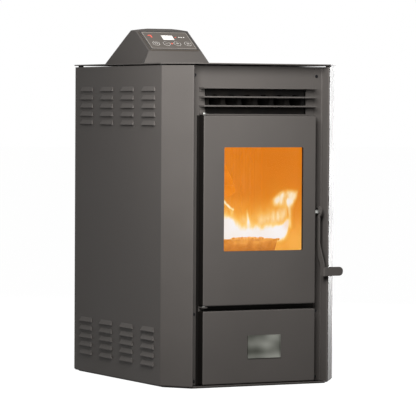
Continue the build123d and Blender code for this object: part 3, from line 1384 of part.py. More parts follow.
def door_frame():
    door = folded_front(DOOR_W, -X_DOOR, Z_DOOR, DOOR_H)
    skin_back = Y_DOOR + DOOR_T
    window = rounded_ring(X_WINDOW0, X_WINDOW1, Z_WINDOW0, Z_WINDOW1, WINDOW_R, skin_back + 1)
    door = door - extrude(window, amount=DOOR_T + 2)
    t = REVEAL_T
    reveal = framed(
        X_WINDOW0 - t,
        X_WINDOW1 + t,
        Z_WINDOW0 - t,
        Z_WINDOW1 + t,
        WINDOW_R + t,
        t,
        skin_back,
        Y_DOOR + REVEAL_D,
    )
    half = SEAL_D / 2 + FLAT_GAP
    x0, x1, z0, z1 = seal_rect(half + SEAL_WALL)
    groove_floor = Y_ROPE - SEAL_D / 2
    edge = Y_ROPE - SEAL_PROUD
    wide = 2 * (half + SEAL_WALL)
    channel = framed(x0, x1, z0, z1, SEAL_CORNER_R + half + SEAL_WALL, wide, skin_back, edge)
    x0, x1, z0, z1 = seal_rect(half)
    groove = framed(x0, x1, z0, z1, SEAL_CORNER_R + half, 2 * half, groove_floor, edge + 1)
    door = door + reveal + (channel - groove)
    hx = -X_DOOR + HINGE_X
    boss = HINGE_X - 1
    for z_in, z_out in ((Z_DOOR_TOP - HINGE_HOLE_D, Z_DOOR_TOP), (Z_DOOR, Z_DOOR + HINGE_HOLE_D)):
        knuckle = block(hx - boss, hx + boss, Y_PIVOT - boss, Y_PIVOT + boss, z_in, z_out)
        hole = rod((hx, Y_PIVOT, z_in - 0.5), (hx, Y_PIVOT, z_out + 0.5), HINGE_PIN_R + RUN_GAP)
        door = door + knuckle - hole
    bolt_hole = rod(
        (X_DOOR - DOOR_T - 1, Y_PIVOT, Z_LATCH), (X_DOOR + 1, Y_PIVOT, Z_LATCH), LATCH_JOURNAL_R + RUN_GAP
    )
    door = door - bolt_hole
    clip_y = Y_GLASS + GLASS_T
    for x, z, way in clip_places():
        post_z = z + way * CLIP_POST_OUT
        door = door + rod((x, skin_back, post_z), (x, clip_y, post_z), CLIP_POST_R)
    return door


def glass_gasket():
    w = GLASS_LAP - 1
    return framed(
        X_WINDOW0 - w,
        X_WINDOW1 + w,
        Z_WINDOW0 - w,
        Z_WINDOW1 + w,
        WINDOW_R + w,
        w - 1,
        Y_DOOR + REVEAL_D,
        Y_GLASS,
    )


def door_glass():
    lap = GLASS_LAP
    pane = rounded_ring(
        X_WINDOW0 - lap, X_WINDOW1 + lap, Z_WINDOW0 - lap, Z_WINDOW1 + lap, WINDOW_R, Y_GLASS + GLASS_T
    )
    return extrude(pane, amount=GLASS_T)


def glass_clips():
    """Four straps behind the glass, each held by a screw in its post."""
    y0 = Y_GLASS + GLASS_T
    clips = []
    for x, z, way in clip_places():
        ends = (z - way * CLIP_LAP, z + way * CLIP_OUT)
        strap = block(x - CLIP_W / 2, x + CLIP_W / 2, y0, y0 + CLIP_T, min(ends), max(ends))
        strap = fillet(strap.edges().filter_by(Axis.Y), 2 * CLIP_T)
        y1 = y0 + CLIP_T
        screw_z = z + way * CLIP_POST_OUT
        head = rod((x, y1, screw_z), (x, y1 + CLIP_HEAD_T, screw_z), SCREW_HEAD_R)
        clips.append(strap + head)
    return gathered(clips)


def door_rope_gasket():
    x0, x1, z0, z1 = seal_rect(0)
    loop = rounded_ring(x0, x1, z0, z1, SEAL_CORNER_R, Y_ROPE)
    path = loop.face().outer_wire()
    start = path @ 0
    ring = Plane(origin=start, z_dir=path % 0) * Circle(SEAL_D / 2)
    return sweep(ring, path=path)


def hinge_brackets():
    x = -X_DOOR + HINGE_X
    half = HINGE_PLATE_W / 2
    x0 = x - half + HINGE_SHIFT
    x1 = x + half + HINGE_SHIFT
    y0 = Y_PIVOT - half
    plates = []
    for z, up in ((Z_DOOR_TOP + MOVE_GAP, 1), (Z_DOOR - MOVE_GAP - HINGE_PLATE_T, -1)):
        plate = block(x0, x1, y0, Y_FACE, z, z + HINGE_PLATE_T)
        plate = fillet(plate.edges().filter_by(Axis.Z).group_by(Axis.Y)[0], half / 2)
        leg_low = z if up > 0 else z + HINGE_PLATE_T - HINGE_LEG_H
        leg = block(x0, x1, Y_FACE - HINGE_PLATE_T, Y_FACE, leg_low, leg_low + HINGE_LEG_H)
        hole = rod((x, Y_PIVOT, z - 1), (x, Y_PIVOT, z + HINGE_PLATE_T + 1), HINGE_PIN_R)
        plates.append(plate + leg - hole)
    return gathered(plates)


def hinge_pins():
    """Headed pins: one down into the door's top edge, one up through a washer into its foot."""
    x = -X_DOOR + HINGE_X
    y = Y_PIVOT
    r = HINGE_PIN_R
    top = Z_DOOR_TOP + MOVE_GAP + HINGE_PLATE_T
    upper = rod((x, y, Z_DOOR_TOP - HINGE_HOLE_D + 0.5), (x, y, top), r)
    upper = upper + rod((x, y, top), (x, y, top + HINGE_HEAD_T), r * 1.5)
    foot = Z_DOOR - MOVE_GAP
    lower = rod((x, y, foot - HINGE_PLATE_T), (x, y, Z_DOOR + HINGE_HOLE_D - 0.5), r)
    lower = lower + rod((x, y, foot), (x, y, Z_DOOR - HINGE_WASHER_GAP), r * 1.6)
    return gathered([upper, lower])


# ---------------------------------------------------------------- latch
def polar_yz(radius, degrees):
    """Point about the latch pivot: 0 degrees points to the rear, 90 up."""
    angle = math.radians(degrees)
    return (Y_PIVOT + radius * math.cos(angle), Z_LATCH + radius * math.sin(angle))


def keeper_slot():
    """Arc slot round the pivot that opens outwards where the keeper leaves."""
    half = KEEPER_PIN_R + KEEPER_GAP
    x0 = X_LATCH - LATCH_T
    x1 = X_LATCH + LATCH_T
    ring = rod((x0, Y_PIVOT, Z_LATCH), (x1, Y_PIVOT, Z_LATCH), KEEPER_R + half)
    ring = ring - rod((x0 - 1, Y_PIVOT, Z_LATCH), (x1 + 1, Y_PIVOT, Z_LATCH), KEEPER_R - half)
    far = 4 * KEEPER_R
    wedge = prism_x(
        [(Y_PIVOT, Z_LATCH), polar_yz(far, 0), polar_yz(far, LATCH_OPEN / 2), polar_yz(far, LATCH_OPEN)], x0, x1
    )
    slot = ring & wedge
    y, z = polar_yz(KEEPER_R, 0)
    slot = slot + rod((x0, y, z), (x1, y, z), half)
    y, z = polar_yz(KEEPER_R, LATCH_OPEN)
    slot = slot + rod((x0, y, z), (x1, y, z), half)
    mouth = Pos(2 * KEEPER_R, 0, 0) * Box(2 * KEEPER_R, 2 * half, x1 - x0)
    plane = Plane(origin=((x0 + x1) / 2, Y_PIVOT, Z_LATCH), x_dir=(0, 1, 0), z_dir=(1, 0, 0))
    return slot + plane * Rot(0, 0, LATCH_OPEN) * mouth


def latch_lever():
    """Flat bar: round head on the pivot, a shank that swings forward, a tab bent to the right."""
    x0 = X_LATCH - LATCH_T / 2
    x1 = X_LATCH + LATCH_T / 2
    head = rod((x0, Y_PIVOT, Z_LATCH), (x1, Y_PIVOT, Z_LATCH), LATCH_HEAD_R)
    y_tab = Y_PIVOT - TAB_REACH
    y_front = Y_PIVOT - SHANK_SET
    y_rear = y_front + SHANK_W
    z_top = Z_TAB + TAB_H
    knee = z_top + KNEE_RISE
    shank_line = FilletPolyline(
        (y_front, Z_LATCH),
        (y_front, knee + SHANK_W),
        (y_tab, z_top + SHANK_SET),
        (y_tab, Z_TAB),
        (y_tab + SHANK_W, Z_TAB),
        (y_tab + SHANK_W, z_top + SHANK_SET / 2),
        (y_rear, knee),
        (y_rear, Z_LATCH),
        radius=SHANK_R,
        close=True,
    )
    shank = extrude(Plane.YZ.offset(x0) * make_face(shank_line), amount=LATCH_T)
    outside = FilletPolyline(
        (x0, y_tab + SHANK_W),
        (x0, y_tab),
        (X_LATCH + TAB_LENGTH, y_tab),
        radius=TAB_BEND_R,
    )
    strip = make_face(offset(outside, amount=LATCH_T, side=Side.LEFT))
    tab = extrude(Pos(0, 0, Z_TAB) * strip, amount=TAB_H)
    tab = fillet(tab.edges().filter_by(Axis.Y).group_by(Axis.X)[-1], TAB_H / 2 - 1)
    notch = block(x0 - 1, x1 + 1, y_tab - 1, y_tab + SHANK_W + 1, Z_TAB - 1, z_top)
    lever = head + (shank - notch) + tab
    bore = rod((x0 - 1, Y_PIVOT, Z_LATCH), (x1 + 1, Y_PIVOT, Z_LATCH), LATCH_JOURNAL_R + RUN_GAP)
    return lever - bore - keeper_slot()


def latch_pivot():
    """Shoulder bolt through the door's right edge that carries the lever."""
    y = Y_PIVOT
    z = Z_LATCH
    x0 = X_LATCH - LATCH_T / 2 - FLAT_GAP
    x1 = X_LATCH + LATCH_T / 2 + FLAT_GAP
    bolt = rod((X_DOOR - DOOR_T - 2, y, z), (X_DOOR, y, z), LATCH_JOURNAL_R)
    bolt = bolt + rod((X_DOOR, y, z), (x0, y, z), LATCH_SHOULDER_R)
    bolt = bolt + rod((x0, y, z), (x1, y, z), LATCH_JOURNAL_R)
    head = rod((x1, y, z), (x1 + LATCH_HEAD_T, y, z), LATCH_SHOULDER_R)
    return bolt + chamfer(head.edges().group_by(Axis.X)[-1], 1)


def latch_keeper():
    """Bracket on the stile with the pin that the lever's slot goes round."""
    y, z = polar_yz(KEEPER_R, 0)
    x0 = X_LATCH + LATCH_T / 2 + FLAT_GAP + LATCH_HEAD_T + KEEPER_EAR_GAP
    x1 = x0 + KEEPER_T
    z0 = z - KEEPER_H / 2
    z1 = z + KEEPER_H / 2
    ear = block(x0, x1, y - KEEPER_FRONT, Y_FLANGE, z0, z1)
    ear = fillet(ear.edges().filter_by(Axis.X).group_by(Axis.Y)[0], KEEPER_H / 4)
    foot = block(x0, X_PILASTER - BEND_R, Y_FLANGE - KEEPER_T, Y_FLANGE, z0, z1)
    pin = rod((X_LATCH - LATCH_T / 2 - KEEPER_PIN_PAST, y, z), (x1, y, z), KEEPER_PIN_R)
    return ear + foot + pin


# ---------------------------------------------------------------- ash drawer
def ash_drawer_front():
    front = folded_front(DOOR_W, -X_DOOR, Z_DRAWER, DRAWER_H)
    t = DOOR_T
    back = block(
        -X_DOOR + t, X_DOOR - t, Y_DOOR_BACK - t, Y_DOOR_BACK, Z_DRAWER + t, Z_DRAWER + DRAWER_H - t
    )
    return front + back


def badge_plate():
    z = Z_DRAWER + BADGE_Z
    y0 = Y_DOOR - BADGE_T
    x0 = BADGE_X - BADGE_W / 2
    x1 = BADGE_X + BADGE_W / 2
    z0 = z - BADGE_H / 2
    z1 = z + BADGE_H / 2
    plate = extrude(rounded_ring(x0, x1, z0, z1, BADGE_R, Y_DOOR), amount=BADGE_T)
    return plate + framed(x0, x1, z0, z1, BADGE_R, BADGE_RIM_W, y0 - BADGE_RIM_H, Y_DOOR)


def ash_pan():
    x = ASH_PAN_X
    t = ASH_PAN_T
    y0 = Y_DOOR_BACK
    y1 = Y_FIREBOX_REAR - ASH_PAN_BEHIND
    z0 = ASH_PAN_FOOT
    z1 = z0 + ASH_PAN_H
    pan = block(-x, x, y0, y1, z0, z1)
    pan = fillet(pan.edges().filter_by(Axis.Z), ASH_PAN_R)
    hollow = block(-x + t, x - t, y0 + t, y1 - t, z0 + t, z1 + 1)
    return pan - fillet(hollow.edges().filter_by(Axis.Z), ASH_PAN_R - t)


def drawer_runners():
    t = RAIL_T
    rails = []
    y0 = Y_FACE_BACK + RAIL_FRONT_GAP
    y1 = Y_FIREBOX_REAR - RAIL_REAR_GAP
    top = ASH_PAN_FOOT - FLAT_GAP
    for side in (-1, 1):
        inner = side * (ASH_PAN_X - RAIL_LAP)
        wall = side * X_OPENING
        ledge = block(min(inner, wall), max(inner, wall), y0, y1, top - t, top)
        upright = side * (X_OPENING - t)
        leg = block(min(upright, wall), max(upright, wall), y0, y1, top - t, top + RAIL_H)
        rails.append(ledge + leg)
    return gathered(rails)


# ---------------------------------------------------------------- console
def console_profile(inset):
    """Side view in (y, z): skirt, keypad slope, rounded crest and shoulder, back."""
    y = Y_CONSOLE
    z = Z_CONSOLE
    corners = [
        (y, z),
        (y + SKIRT_RUN, z + SKIRT_H),
        (y + CONSOLE_CREST, z + CONSOLE_H),
        (y + CONSOLE_SHOULDER_Y, z + CONSOLE_SHOULDER_Z),
        (y + CONSOLE_D, z),
    ]
    face = make_face(Polyline(*corners, close=True))
    if inset:
        face = offset(face, amount=-inset, kind=Kind.INTERSECTION)
    high = face.vertices().sort_by(Axis.Y)
    face = fillet(high[-1], CREST_R - inset)
    shoulder = face.vertices().group_by(Axis.X)[-2]
    return fillet(shoulder.sort_by(Axis.Y)[-1], SHOULDER_R - inset)


def flare_limit(side, inset):
    """Space inside the facet that joins a flared front corner to the console's end."""
    x = CONSOLE_X0 if side < 0 else X_CONSOLE1
    fold = Vector(x, Y_CONSOLE + SKIRT_RUN, Z_CONSOLE + SKIRT_H)
    rear = Vector(x, Y_CONSOLE + FLARE_D, Z_CONSOLE)
    corner = Vector(x + side * FLARE_W, Y_CONSOLE, Z_CONSOLE)
    outward = (rear - fold).cross(corner - fold).normalized() * -side
    size = 3 * CONSOLE_D
    plane = Plane(origin=fold - outward * inset, z_dir=outward)
    return plane * Pos(0, 0, -size / 2) * Box(size, size, size)


def console_body(inset):
    """Hump along X with its crest crowned and its front foot flared at both corners."""
    x0 = CONSOLE_X0 + inset
    x1 = X_CONSOLE1 - inset
    profile = console_profile(inset)
    hump = extrude(Plane.YZ.offset(x0) * profile, amount=x1 - x0)
    wide = extrude(Plane.YZ.offset(x0 - FLARE_W) * profile, amount=x1 - x0 + 2 * FLARE_W)
    hump = hump + (wide & flare_limit(-1, inset) & flare_limit(1, inset))
    left = x0 - FLARE_W
    right = x1 + FLARE_W
    low = Z_CONSOLE - 1
    top = Z_CONSOLE + CONSOLE_H - inset
    eaves = top - CONSOLE_CROWN
    y_back = Y_CONSOLE + CONSOLE_D
    back = Plane(origin=(0, y_back, 0), x_dir=(1, 0, 0), z_dir=(0, -1, 0))
    sides = Polyline((x1, eaves), (right, eaves), (right, low), (left, low), (left, eaves), (x0, eaves))
    crown = ThreePointArc((x0, eaves), ((x0 + x1) / 2, top), (x1, eaves))
    arch = extrude(back * make_face(sides + crown), amount=CONSOLE_D)
    return hump & arch


def slope_plane():
    """Plane on the console's front slope at the keypad's centre, its y up the slope."""
    rise = CONSOLE_H - SKIRT_H
    depth = CONSOLE_CREST - SKIRT_RUN
    length = math.hypot(depth, rise)
    down = (PAD_DROP + PAD_H / 2) / length
    y = Y_CONSOLE + CONSOLE_CREST - depth * down
    z = Z_CONSOLE + CONSOLE_H - rise * down
    normal = (0, -rise / length, depth / length)
    return Plane(origin=((CONSOLE_X0 + X_CONSOLE1) / 2, y, z), x_dir=(1, 0, 0), z_dir=normal)


def console_housing():
    inner = console_body(CONSOLE_T)
    drop = Pos(0, 0, -CONSOLE_T) * inner
    shell = console_body(0) - inner - drop
    opening = slope_plane() * Box(PAD_W - 2 * PAD_SEAT, PAD_H - 2 * PAD_SEAT, 6 * CONSOLE_T)
    return shell - opening


def key_xs():
    first = KEY_X - (KEY_COUNT - 1) * KEY_PITCH / 2
    return [first + i * KEY_PITCH for i in range(KEY_COUNT)]


def octagon(flats, z0, z1):
    radius = flats / 2 / math.cos(math.pi / 8)
    shape = Rot(0, 0, 22.5) * RegularPolygon(radius, 8)
    return extrude(Pos(0, 0, z0) * shape, amount=z1 - z0)


def standoff_places():
    x = BOARD_W / 2 - STANDOFF_IN
    y = BOARD_H / 2 - STANDOFF_IN
    return [(-x, -y), (-x, y), (x, -y), (x, y)]


def keypad_plate():
    plate = extrude(RectangleRounded(PAD_W, PAD_H, PAD_R), amount=PAD_T)
    plate = chamfer(plate.edges().group_by(Axis.Z)[-1], PAD_EDGE)
    for x in key_xs():
        plate = plate - Pos(x, KEY_Y, 0) * octagon(KEY_FLATS + 2 * KEY_GAP, -1, PAD_T + 1)
    seat = PAD_T - DISPLAY_SINK - DISPLAY_T
    window = Pos(DISPLAY_X, DISPLAY_Y, seat + PAD_T / 2)
    plate = plate - window * Box(DISPLAY_W, DISPLAY_H, PAD_T)
    ledge = 2 * DISPLAY_LEDGE
    plate = plate - Pos(DISPLAY_X, DISPLAY_Y, 0) * Box(DISPLAY_W - ledge, DISPLAY_H - ledge, 3 * PAD_T)
    for x, y in standoff_places():
        plate = plate + Pos(x, y, -BOARD_DEPTH / 2) * Cylinder(STANDOFF_R, BOARD_DEPTH)
    return slope_plane() * plate


def display_window():
    gap = 2 * DISPLAY_GAP
    pane = Box(DISPLAY_W - gap, DISPLAY_H - gap, DISPLAY_T)
    return slope_plane() * Pos(DISPLAY_X, DISPLAY_Y, PAD_T - DISPLAY_SINK - DISPLAY_T / 2) * pane


def key_cap(index):
    """Octagonal cap with a flange behind the plate and a stem to its switch."""
    under = -FLAT_GAP
    cap = octagon(KEY_FLATS, under - KEY_FLANGE_T, PAD_T + KEY_PROUD)
    cap = chamfer(cap.edges().group_by(Axis.Z)[-1], KEY_EDGE)
    cap = cap + octagon(KEY_FLATS + 2 * KEY_FLANGE, under - KEY_FLANGE_T, under)
    stem_z = under - KEY_FLANGE_T - KEY_STEM_L / 2
    cap = cap + Pos(0, 0, stem_z) * Cylinder(KEY_STEM_R, KEY_STEM_L)
    return slope_plane() * Pos(key_xs()[index], KEY_Y, 0) * cap


def control_board():
    board = Pos(0, 0, -BOARD_DEPTH - BOARD_T / 2) * Box(BOARD_W, BOARD_H, BOARD_T)
    stem_end = -FLAT_GAP - KEY_FLANGE_T - KEY_STEM_L
    switch_top = stem_end - KEY_TRAVEL - SWITCH_GAP
    height = switch_top + BOARD_DEPTH
    for x in key_xs():
        switch = Box(SWITCH_SIDE, SWITCH_SIDE, height)
        board = board + Pos(x, KEY_Y, -BOARD_DEPTH + height / 2) * switch
    module_h = BOARD_DEPTH - LENS_GAP
    margin = 2 * LENS_MARGIN
    module = Box(DISPLAY_W - margin, DISPLAY_H - margin, module_h)
    board = board + Pos(DISPLAY_X, DISPLAY_Y, -BOARD_DEPTH + module_h / 2) * module
    under = -BOARD_DEPTH - BOARD_T
    board = board + Pos(BOARD_W / 4, 0, under - RELAY_H / 2) * Box(RELAY_W, RELAY_D, RELAY_H)
    capacitor = Cylinder(CAPACITOR_R, CAPACITOR_H)
    board = board + Pos(-BOARD_W / 4, CAPACITOR_Y, under - CAPACITOR_H / 2) * capacitor
    return slope_plane() * board


# ---------------------------------------------------------------- rear fittings
def power_inlet():
    """Mains inlet socket in the rear panel, its flange on the outside."""
    face = Y_REAR_IN + REAR_T
    back = face - INLET_D
    x = INLET_X
    z = INLET_Z
    body = block(x - INLET_W / 2, x + INLET_W / 2, back, face, z - INLET_H / 2, z + INLET_H / 2)
    half_w = INLET_W / 2 + INLET_FLANGE
    half_h = INLET_H / 2 + INLET_FLANGE
    flange = block(x - half_w, x + half_w, face, face + INLET_FLANGE_T, z - half_h, z + half_h)
    flange = fillet(flange.edges().filter_by(Axis.Y), INLET_R)
    half_w = INLET_WELL_W / 2
    half_h = INLET_WELL_H / 2
    floor = back + INLET_FLOOR
    well = block(x - half_w, x + half_w, floor, face + INLET_FLANGE_T + 1, z - half_h, z + half_h)
    socket = body + flange - well
    for step in (-1, 0, 1):
        cx = x + step * INLET_PIN_PITCH
        x0 = cx - INLET_PIN_T / 2
        x1 = cx + INLET_PIN_T / 2
        half = INLET_PIN_H / 2
        socket = socket + block(x0, x1, floor - 1, face - INLET_PIN_SHORT, z - half, z + half)
    return socket


def vacuum_switch():
    """Round pressure switch on the rear panel, with its hose barb towards the stove's middle."""
    y1 = Y_REAR_IN
    y0 = y1 - VACUUM_T
    x = VACUUM_X
    z = VACUUM_Z
    disc = rod((x, y0, z), (x, y1, z), VACUUM_R)
    disc = fillet(disc.edges().group_by(Axis.Y)[0], VACUUM_R_EDGE)
    return disc + rod((x, y0 - BARB_L, z), (x, y0, z), BARB_R)


NODES = {
    "base_pan": base_pan,
    "left_side_panel": left_side_panel,
    "right_side_panel": lambda: mirror(left_side_panel(), about=Plane.YZ),
    "face_frame": face_frame,
    "outlet_blades": outlet_blades,
    "rear_panel": rear_panel,
    "top_plate": top_plate,
    "top_frame": top_frame,
    "top_spacers": top_spacers,
    "panel_screws": panel_screws,
    "firebox": firebox,
    "fire_back": fire_back,
    "heat_tubes": heat_tubes,
    "flame_baffle": flame_baffle,
    "burn_pot": burn_pot,
    "air_box": air_box,
    "intake_pipe": intake_pipe,
    "igniter": igniter,
    "exhaust_manifold": exhaust_manifold,
    "exhaust_blower_housing": exhaust_blower_housing,
    "exhaust_impeller": exhaust_impeller,
    "exhaust_motor": exhaust_motor,
    "flue_collar": flue_collar,
    "air_blower_housing": air_blower_housing,
    "blower_wheel": blower_wheel,
    "blower_motor": blower_motor,
    "air_duct": air_duct,
    "hopper": hopper,
    "hopper_lid": hopper_lid,
    "lid_gasket": lid_gasket,
    "lid_hinge_pins": lid_hinge_pins,
    "auger_tube": auger_tube,
    "auger_screw": auger_screw,
    "auger_bushing": auger_bushing,
    "auger_gearmotor": auger_gearmotor,
    "feed_chute": feed_chute,
    "door_frame": door_frame,
    "door_glass": door_glass,
    "glass_gasket": glass_gasket,
    "glass_clips": glass_clips,
    "door_rope_gasket": door_rope_gasket,
    "hinge_brackets": hinge_brackets,
    "hinge_pins": hinge_pins,
    "latch_lever": latch_lever,
    "latch_pivot": latch_pivot,
    "latch_keeper": latch_keeper,
    "ash_drawer_front": ash_drawer_front,
    "badge_plate": badge_plate,
    "ash_pan": ash_pan,
    "drawer_runners": drawer_runners,
    "console_housing": console_housing,
    "keypad_plate": keypad_plate,
    "display_window": display_window,
    "key_1": lambda: key_cap(0),
    "key_2": lambda: key_cap(1),
    "key_3": lambda: key_cap(2),
    "key_4": lambda: key_cap(3),
    "control_board": control_board,
    "power_inlet": power_inlet,
    "vacuum_switch": vacuum_switch,
}

if __name__ == "__main__":
    os.makedirs("parts", exist_ok=True)
    for node, make in NODES.items():
        export_step(make(), "parts/" + node + ".step")
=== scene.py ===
import json
import math
import random

import bmesh
import bpy
from bpy.props import FloatProperty, FloatVectorProperty, PointerProperty, StringProperty
from mathutils import Matrix, Vector


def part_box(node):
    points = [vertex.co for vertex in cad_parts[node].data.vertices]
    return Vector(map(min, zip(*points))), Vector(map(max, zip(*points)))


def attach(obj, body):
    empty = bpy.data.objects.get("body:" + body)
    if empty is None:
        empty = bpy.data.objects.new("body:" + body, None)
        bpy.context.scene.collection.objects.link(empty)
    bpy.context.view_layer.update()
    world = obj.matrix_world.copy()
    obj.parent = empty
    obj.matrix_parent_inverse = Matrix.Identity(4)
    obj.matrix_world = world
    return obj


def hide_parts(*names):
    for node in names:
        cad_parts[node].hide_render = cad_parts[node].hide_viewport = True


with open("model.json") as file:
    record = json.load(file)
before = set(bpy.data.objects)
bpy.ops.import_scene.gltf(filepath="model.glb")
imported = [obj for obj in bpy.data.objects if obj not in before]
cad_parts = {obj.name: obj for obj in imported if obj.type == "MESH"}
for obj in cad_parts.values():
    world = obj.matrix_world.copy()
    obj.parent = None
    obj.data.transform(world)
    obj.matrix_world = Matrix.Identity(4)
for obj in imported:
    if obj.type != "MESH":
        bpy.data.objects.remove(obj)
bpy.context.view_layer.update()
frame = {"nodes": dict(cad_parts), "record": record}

bl_info = {
    "name": "Pellet stove looks",
    "version": (1, 0, 0),
    "blender": (4, 5, 0),
    "location": "3D View > Sidebar > Stove",
    "description": "Finishes, fire, keypad print, door rope and studio for the packed pellet stove",
    "category": "Object",
}

MM = 0.001
NODES = frame["nodes"]
SLOT_OF = {row["node"]: row["material_slot"] for row in frame["record"]["subparts"]}

# The photograph's camera, worked out from the stove's straight edges
CAMERA_PLACE = (-3.8082, -7.3779, 0.7674)
CAMERA_YAW = math.radians(27.3)
CAMERA_PITCH = math.radians(1.96)
CAMERA_ROLL = math.radians(0.33)
CAMERA_REACH = 60.0  # m, past the far edge of the floor it sees
SENSOR_MM = 36.0
LENS_MM = 250.96


# ---------------------------------------------------------------- small tools
def linear(colour):
    """sRGB hex text to the linear colour that Blender's sockets take."""
    shades = [int(colour[i : i + 2], 16) / 255 for i in (1, 3, 5)]
    lit = (s / 12.92 if s <= 0.04045 else ((s + 0.055) / 1.055) ** 2.4 for s in shades)
    return (*lit, 1.0)


def per(size_mm):
    """Texture scale at which one feature of the pattern is this many millimetres."""
    return 1.0 / (size_mm * MM)


def add(tree, kind, inputs=None, stops=(), **settings):
    """Adds a node with its settings, the values or links of its inputs, and the place and hex
    colour of its ramp's stops, and returns its outputs."""
    node = tree.nodes.new(kind)
    for name, value in settings.items():
        setattr(node, name, value)
    for name, value in (inputs or {}).items():
        if isinstance(value, bpy.types.NodeSocket):
            tree.links.new(value, node.inputs[name])
        else:
            node.inputs[name].default_value = value
    if stops:
        elements = node.color_ramp.elements
        while len(elements) < len(stops):
            elements.new(1.0)
        for element, (position, colour) in zip(elements, stops):
            element.position = position
            element.color = linear(colour)
    return node.outputs


# Values between which most of a noise pattern lies
NOISE_SPAN = {"From Min": 0.3, "From Max": 0.7}


def start(name, *patterns, firelit=False):
    """New material with an empty tree, the piece's own coordinates in metres, and soft noise
    patterns. Each of those has the size of its features in mm, its detail, and, where it is
    streaky, how many times it is drawn out along x, y and z."""
    material = bpy.data.materials.new(name + ("_firelit" if firelit else ""))
    material.use_nodes = True
    tree = material.node_tree
    tree.nodes.clear()
    place = add(tree, "ShaderNodeTexCoord")["Object"]
    made = []
    for size_mm, detail, *drawn_out in patterns:
        vector = place
        if drawn_out:
            scale = tuple(1.0 / times for times in drawn_out)
            vector = add(tree, "ShaderNodeMapping", {"Vector": place, "Scale": scale})["Vector"]
        inputs = {"Vector": vector, "Scale": per(size_mm), "Detail": detail}
        made.append(add(tree, "ShaderNodeTexNoise", inputs)["Fac"])
    return material, tree, place, *made


def surface(material, rough, colour=None, relief=None, inputs=None):
    """Closes a material whose roughness, colour and relief each follow a pattern.

    rough is the pattern, the roughness at its low and at its high end and, where it isn't a
    noise, where those ends lie. colour is the pattern and its stops, and relief the pattern,
    its depth in mm and its strength. inputs are the shader's other sockets."""
    tree = material.node_tree
    sockets = dict(inputs or {})
    pattern, low, high, *ends = rough
    span = {"Value": pattern, "To Min": low, "To Max": high, **NOISE_SPAN}
    span.update(zip(("From Min", "From Max"), ends))
    sockets["Roughness"] = add(tree, "ShaderNodeMapRange", span)["Result"]
    if colour:
        pattern, *stops = colour
        sockets["Base Color"] = add(tree, "ShaderNodeValToRGB", {"Fac": pattern}, stops)["Color"]
    if relief:
        pattern, depth_mm, strength = relief
        skin = {"Height": pattern, "Distance": depth_mm * MM, "Strength": strength}
        sockets["Normal"] = add(tree, "ShaderNodeBump", skin)["Normal"]
    shader = add(tree, "ShaderNodeBsdfPrincipled", sockets)["BSDF"]
    add(tree, "ShaderNodeOutputMaterial", {"Surface": shader})
    return material


def mottled(tree, colour, pattern, dark, light):
    """A linear colour that drifts between a darker and a lighter shade of it as a noise does."""
    share = add(tree, "ShaderNodeMapRange", {"Value": pattern, **NOISE_SPAN})["Result"]
    low, high = (tuple(part * shade for part in colour) + (1.0,) for shade in (dark, light))
    shades = {"Factor": share, "A": low, "B": high}
    return add(tree, "ShaderNodeMix", shades, data_type="RGBA")["Result"]


# ---------------------------------------------------------------- finishes of the real parts
SHADE_BLACK = "#191715"  # painted shade: black paint where the powder coat is left off, for the shadow beside the door and on folded edges


def powder_coat(shade_mask=None):
    """Textured polyester powder coat, sprayed and baked: an even satin brown-grey that reads
    lighter at glancing angles, with an orange-peel skin too fine to show, drawn at 1.8 mm.

    The third argument is an axis, a test and a limit: past it the coat is swapped for black paint,
    a painted shade for the shadow in a recess."""
    look = bpy.context.scene.stove_finish
    name = "powder_coat" + ("_masked_%s_black" % shade_mask[0] if shade_mask else "")
    material, tree, place, cloud, peel = start(name, (210, 3), (1.8, 2))
    colour = mottled(tree, look.paint, cloud, 0.93, 1.05)
    if shade_mask:
        # painted shade: black in place of the coat where the test passes
        axis, test, limit = shade_mask
        along = add(tree, "ShaderNodeSeparateXYZ", {"Vector": place})[axis]
        bare = add(tree, "ShaderNodeMath", {0: along, 1: limit}, operation=test)[0]
        layers = {"Factor": bare, "A": colour, "B": linear(SHADE_BLACK)}
        colour = add(tree, "ShaderNodeMix", layers, data_type="RGBA")["Result"]
    return surface(
        material,
        rough=(cloud, look.paint_roughness - 0.03, look.paint_roughness + 0.05),
        relief=(peel, 0.12, 0.5),
        inputs={"Base Color": colour, "IOR": 1.5, "Specular IOR Level": look.paint_shine},
    )


def galvanised():
    """Hot-dip galvanised sheet: dull zinc with 9 mm spangle crystals, each its own grey."""
    material, tree, place, ripple = start("galvanised_sheet", (2.5, 2))
    cells = {"Vector": place, "Scale": per(9), "Randomness": 1.0}
    spangle = add(tree, "ShaderNodeTexVoronoi", cells)["Color"]
    grey = add(tree, "ShaderNodeSeparateColor", {"Color": spangle})["Red"]
    return surface(
        material,
        rough=(grey, 0.36, 0.55, 0, 1),
        colour=(grey, (0.1, "#8b8f90"), (0.9, "#b3b7b7")),
        relief=(ripple, 0.05, 0.4),
        inputs={"Metallic": 0.9},
    )


def zinc_plate():
    """Bright zinc-plated steel fastener: clear-passivated, with faint handling marks."""
    material, _, _, mark = start("zinc_plated_steel", (4, 3))
    return surface(
        material,
        rough=(mark, 0.24, 0.4),
        colour=(mark, (0.35, "#9c9d9a"), (0.65, "#c3c4c0")),
        relief=(mark, 0.03, 0.3),
        inputs={"Metallic": 1.0},
    )


def black_zinc():
    """Steel screw, zinc-plated and black-passivated: nearly black, with a dull metal gleam."""
    material, _, _, mark = start("black_passivated_zinc", (3, 3))
    return surface(
        material,
        rough=(mark, 0.42, 0.58),
        colour=(mark, (0.35, "#1b1b1c"), (0.65, "#333335")),
        relief=(mark, 0.03, 0.3),
        inputs={"Metallic": 0.8},
    )


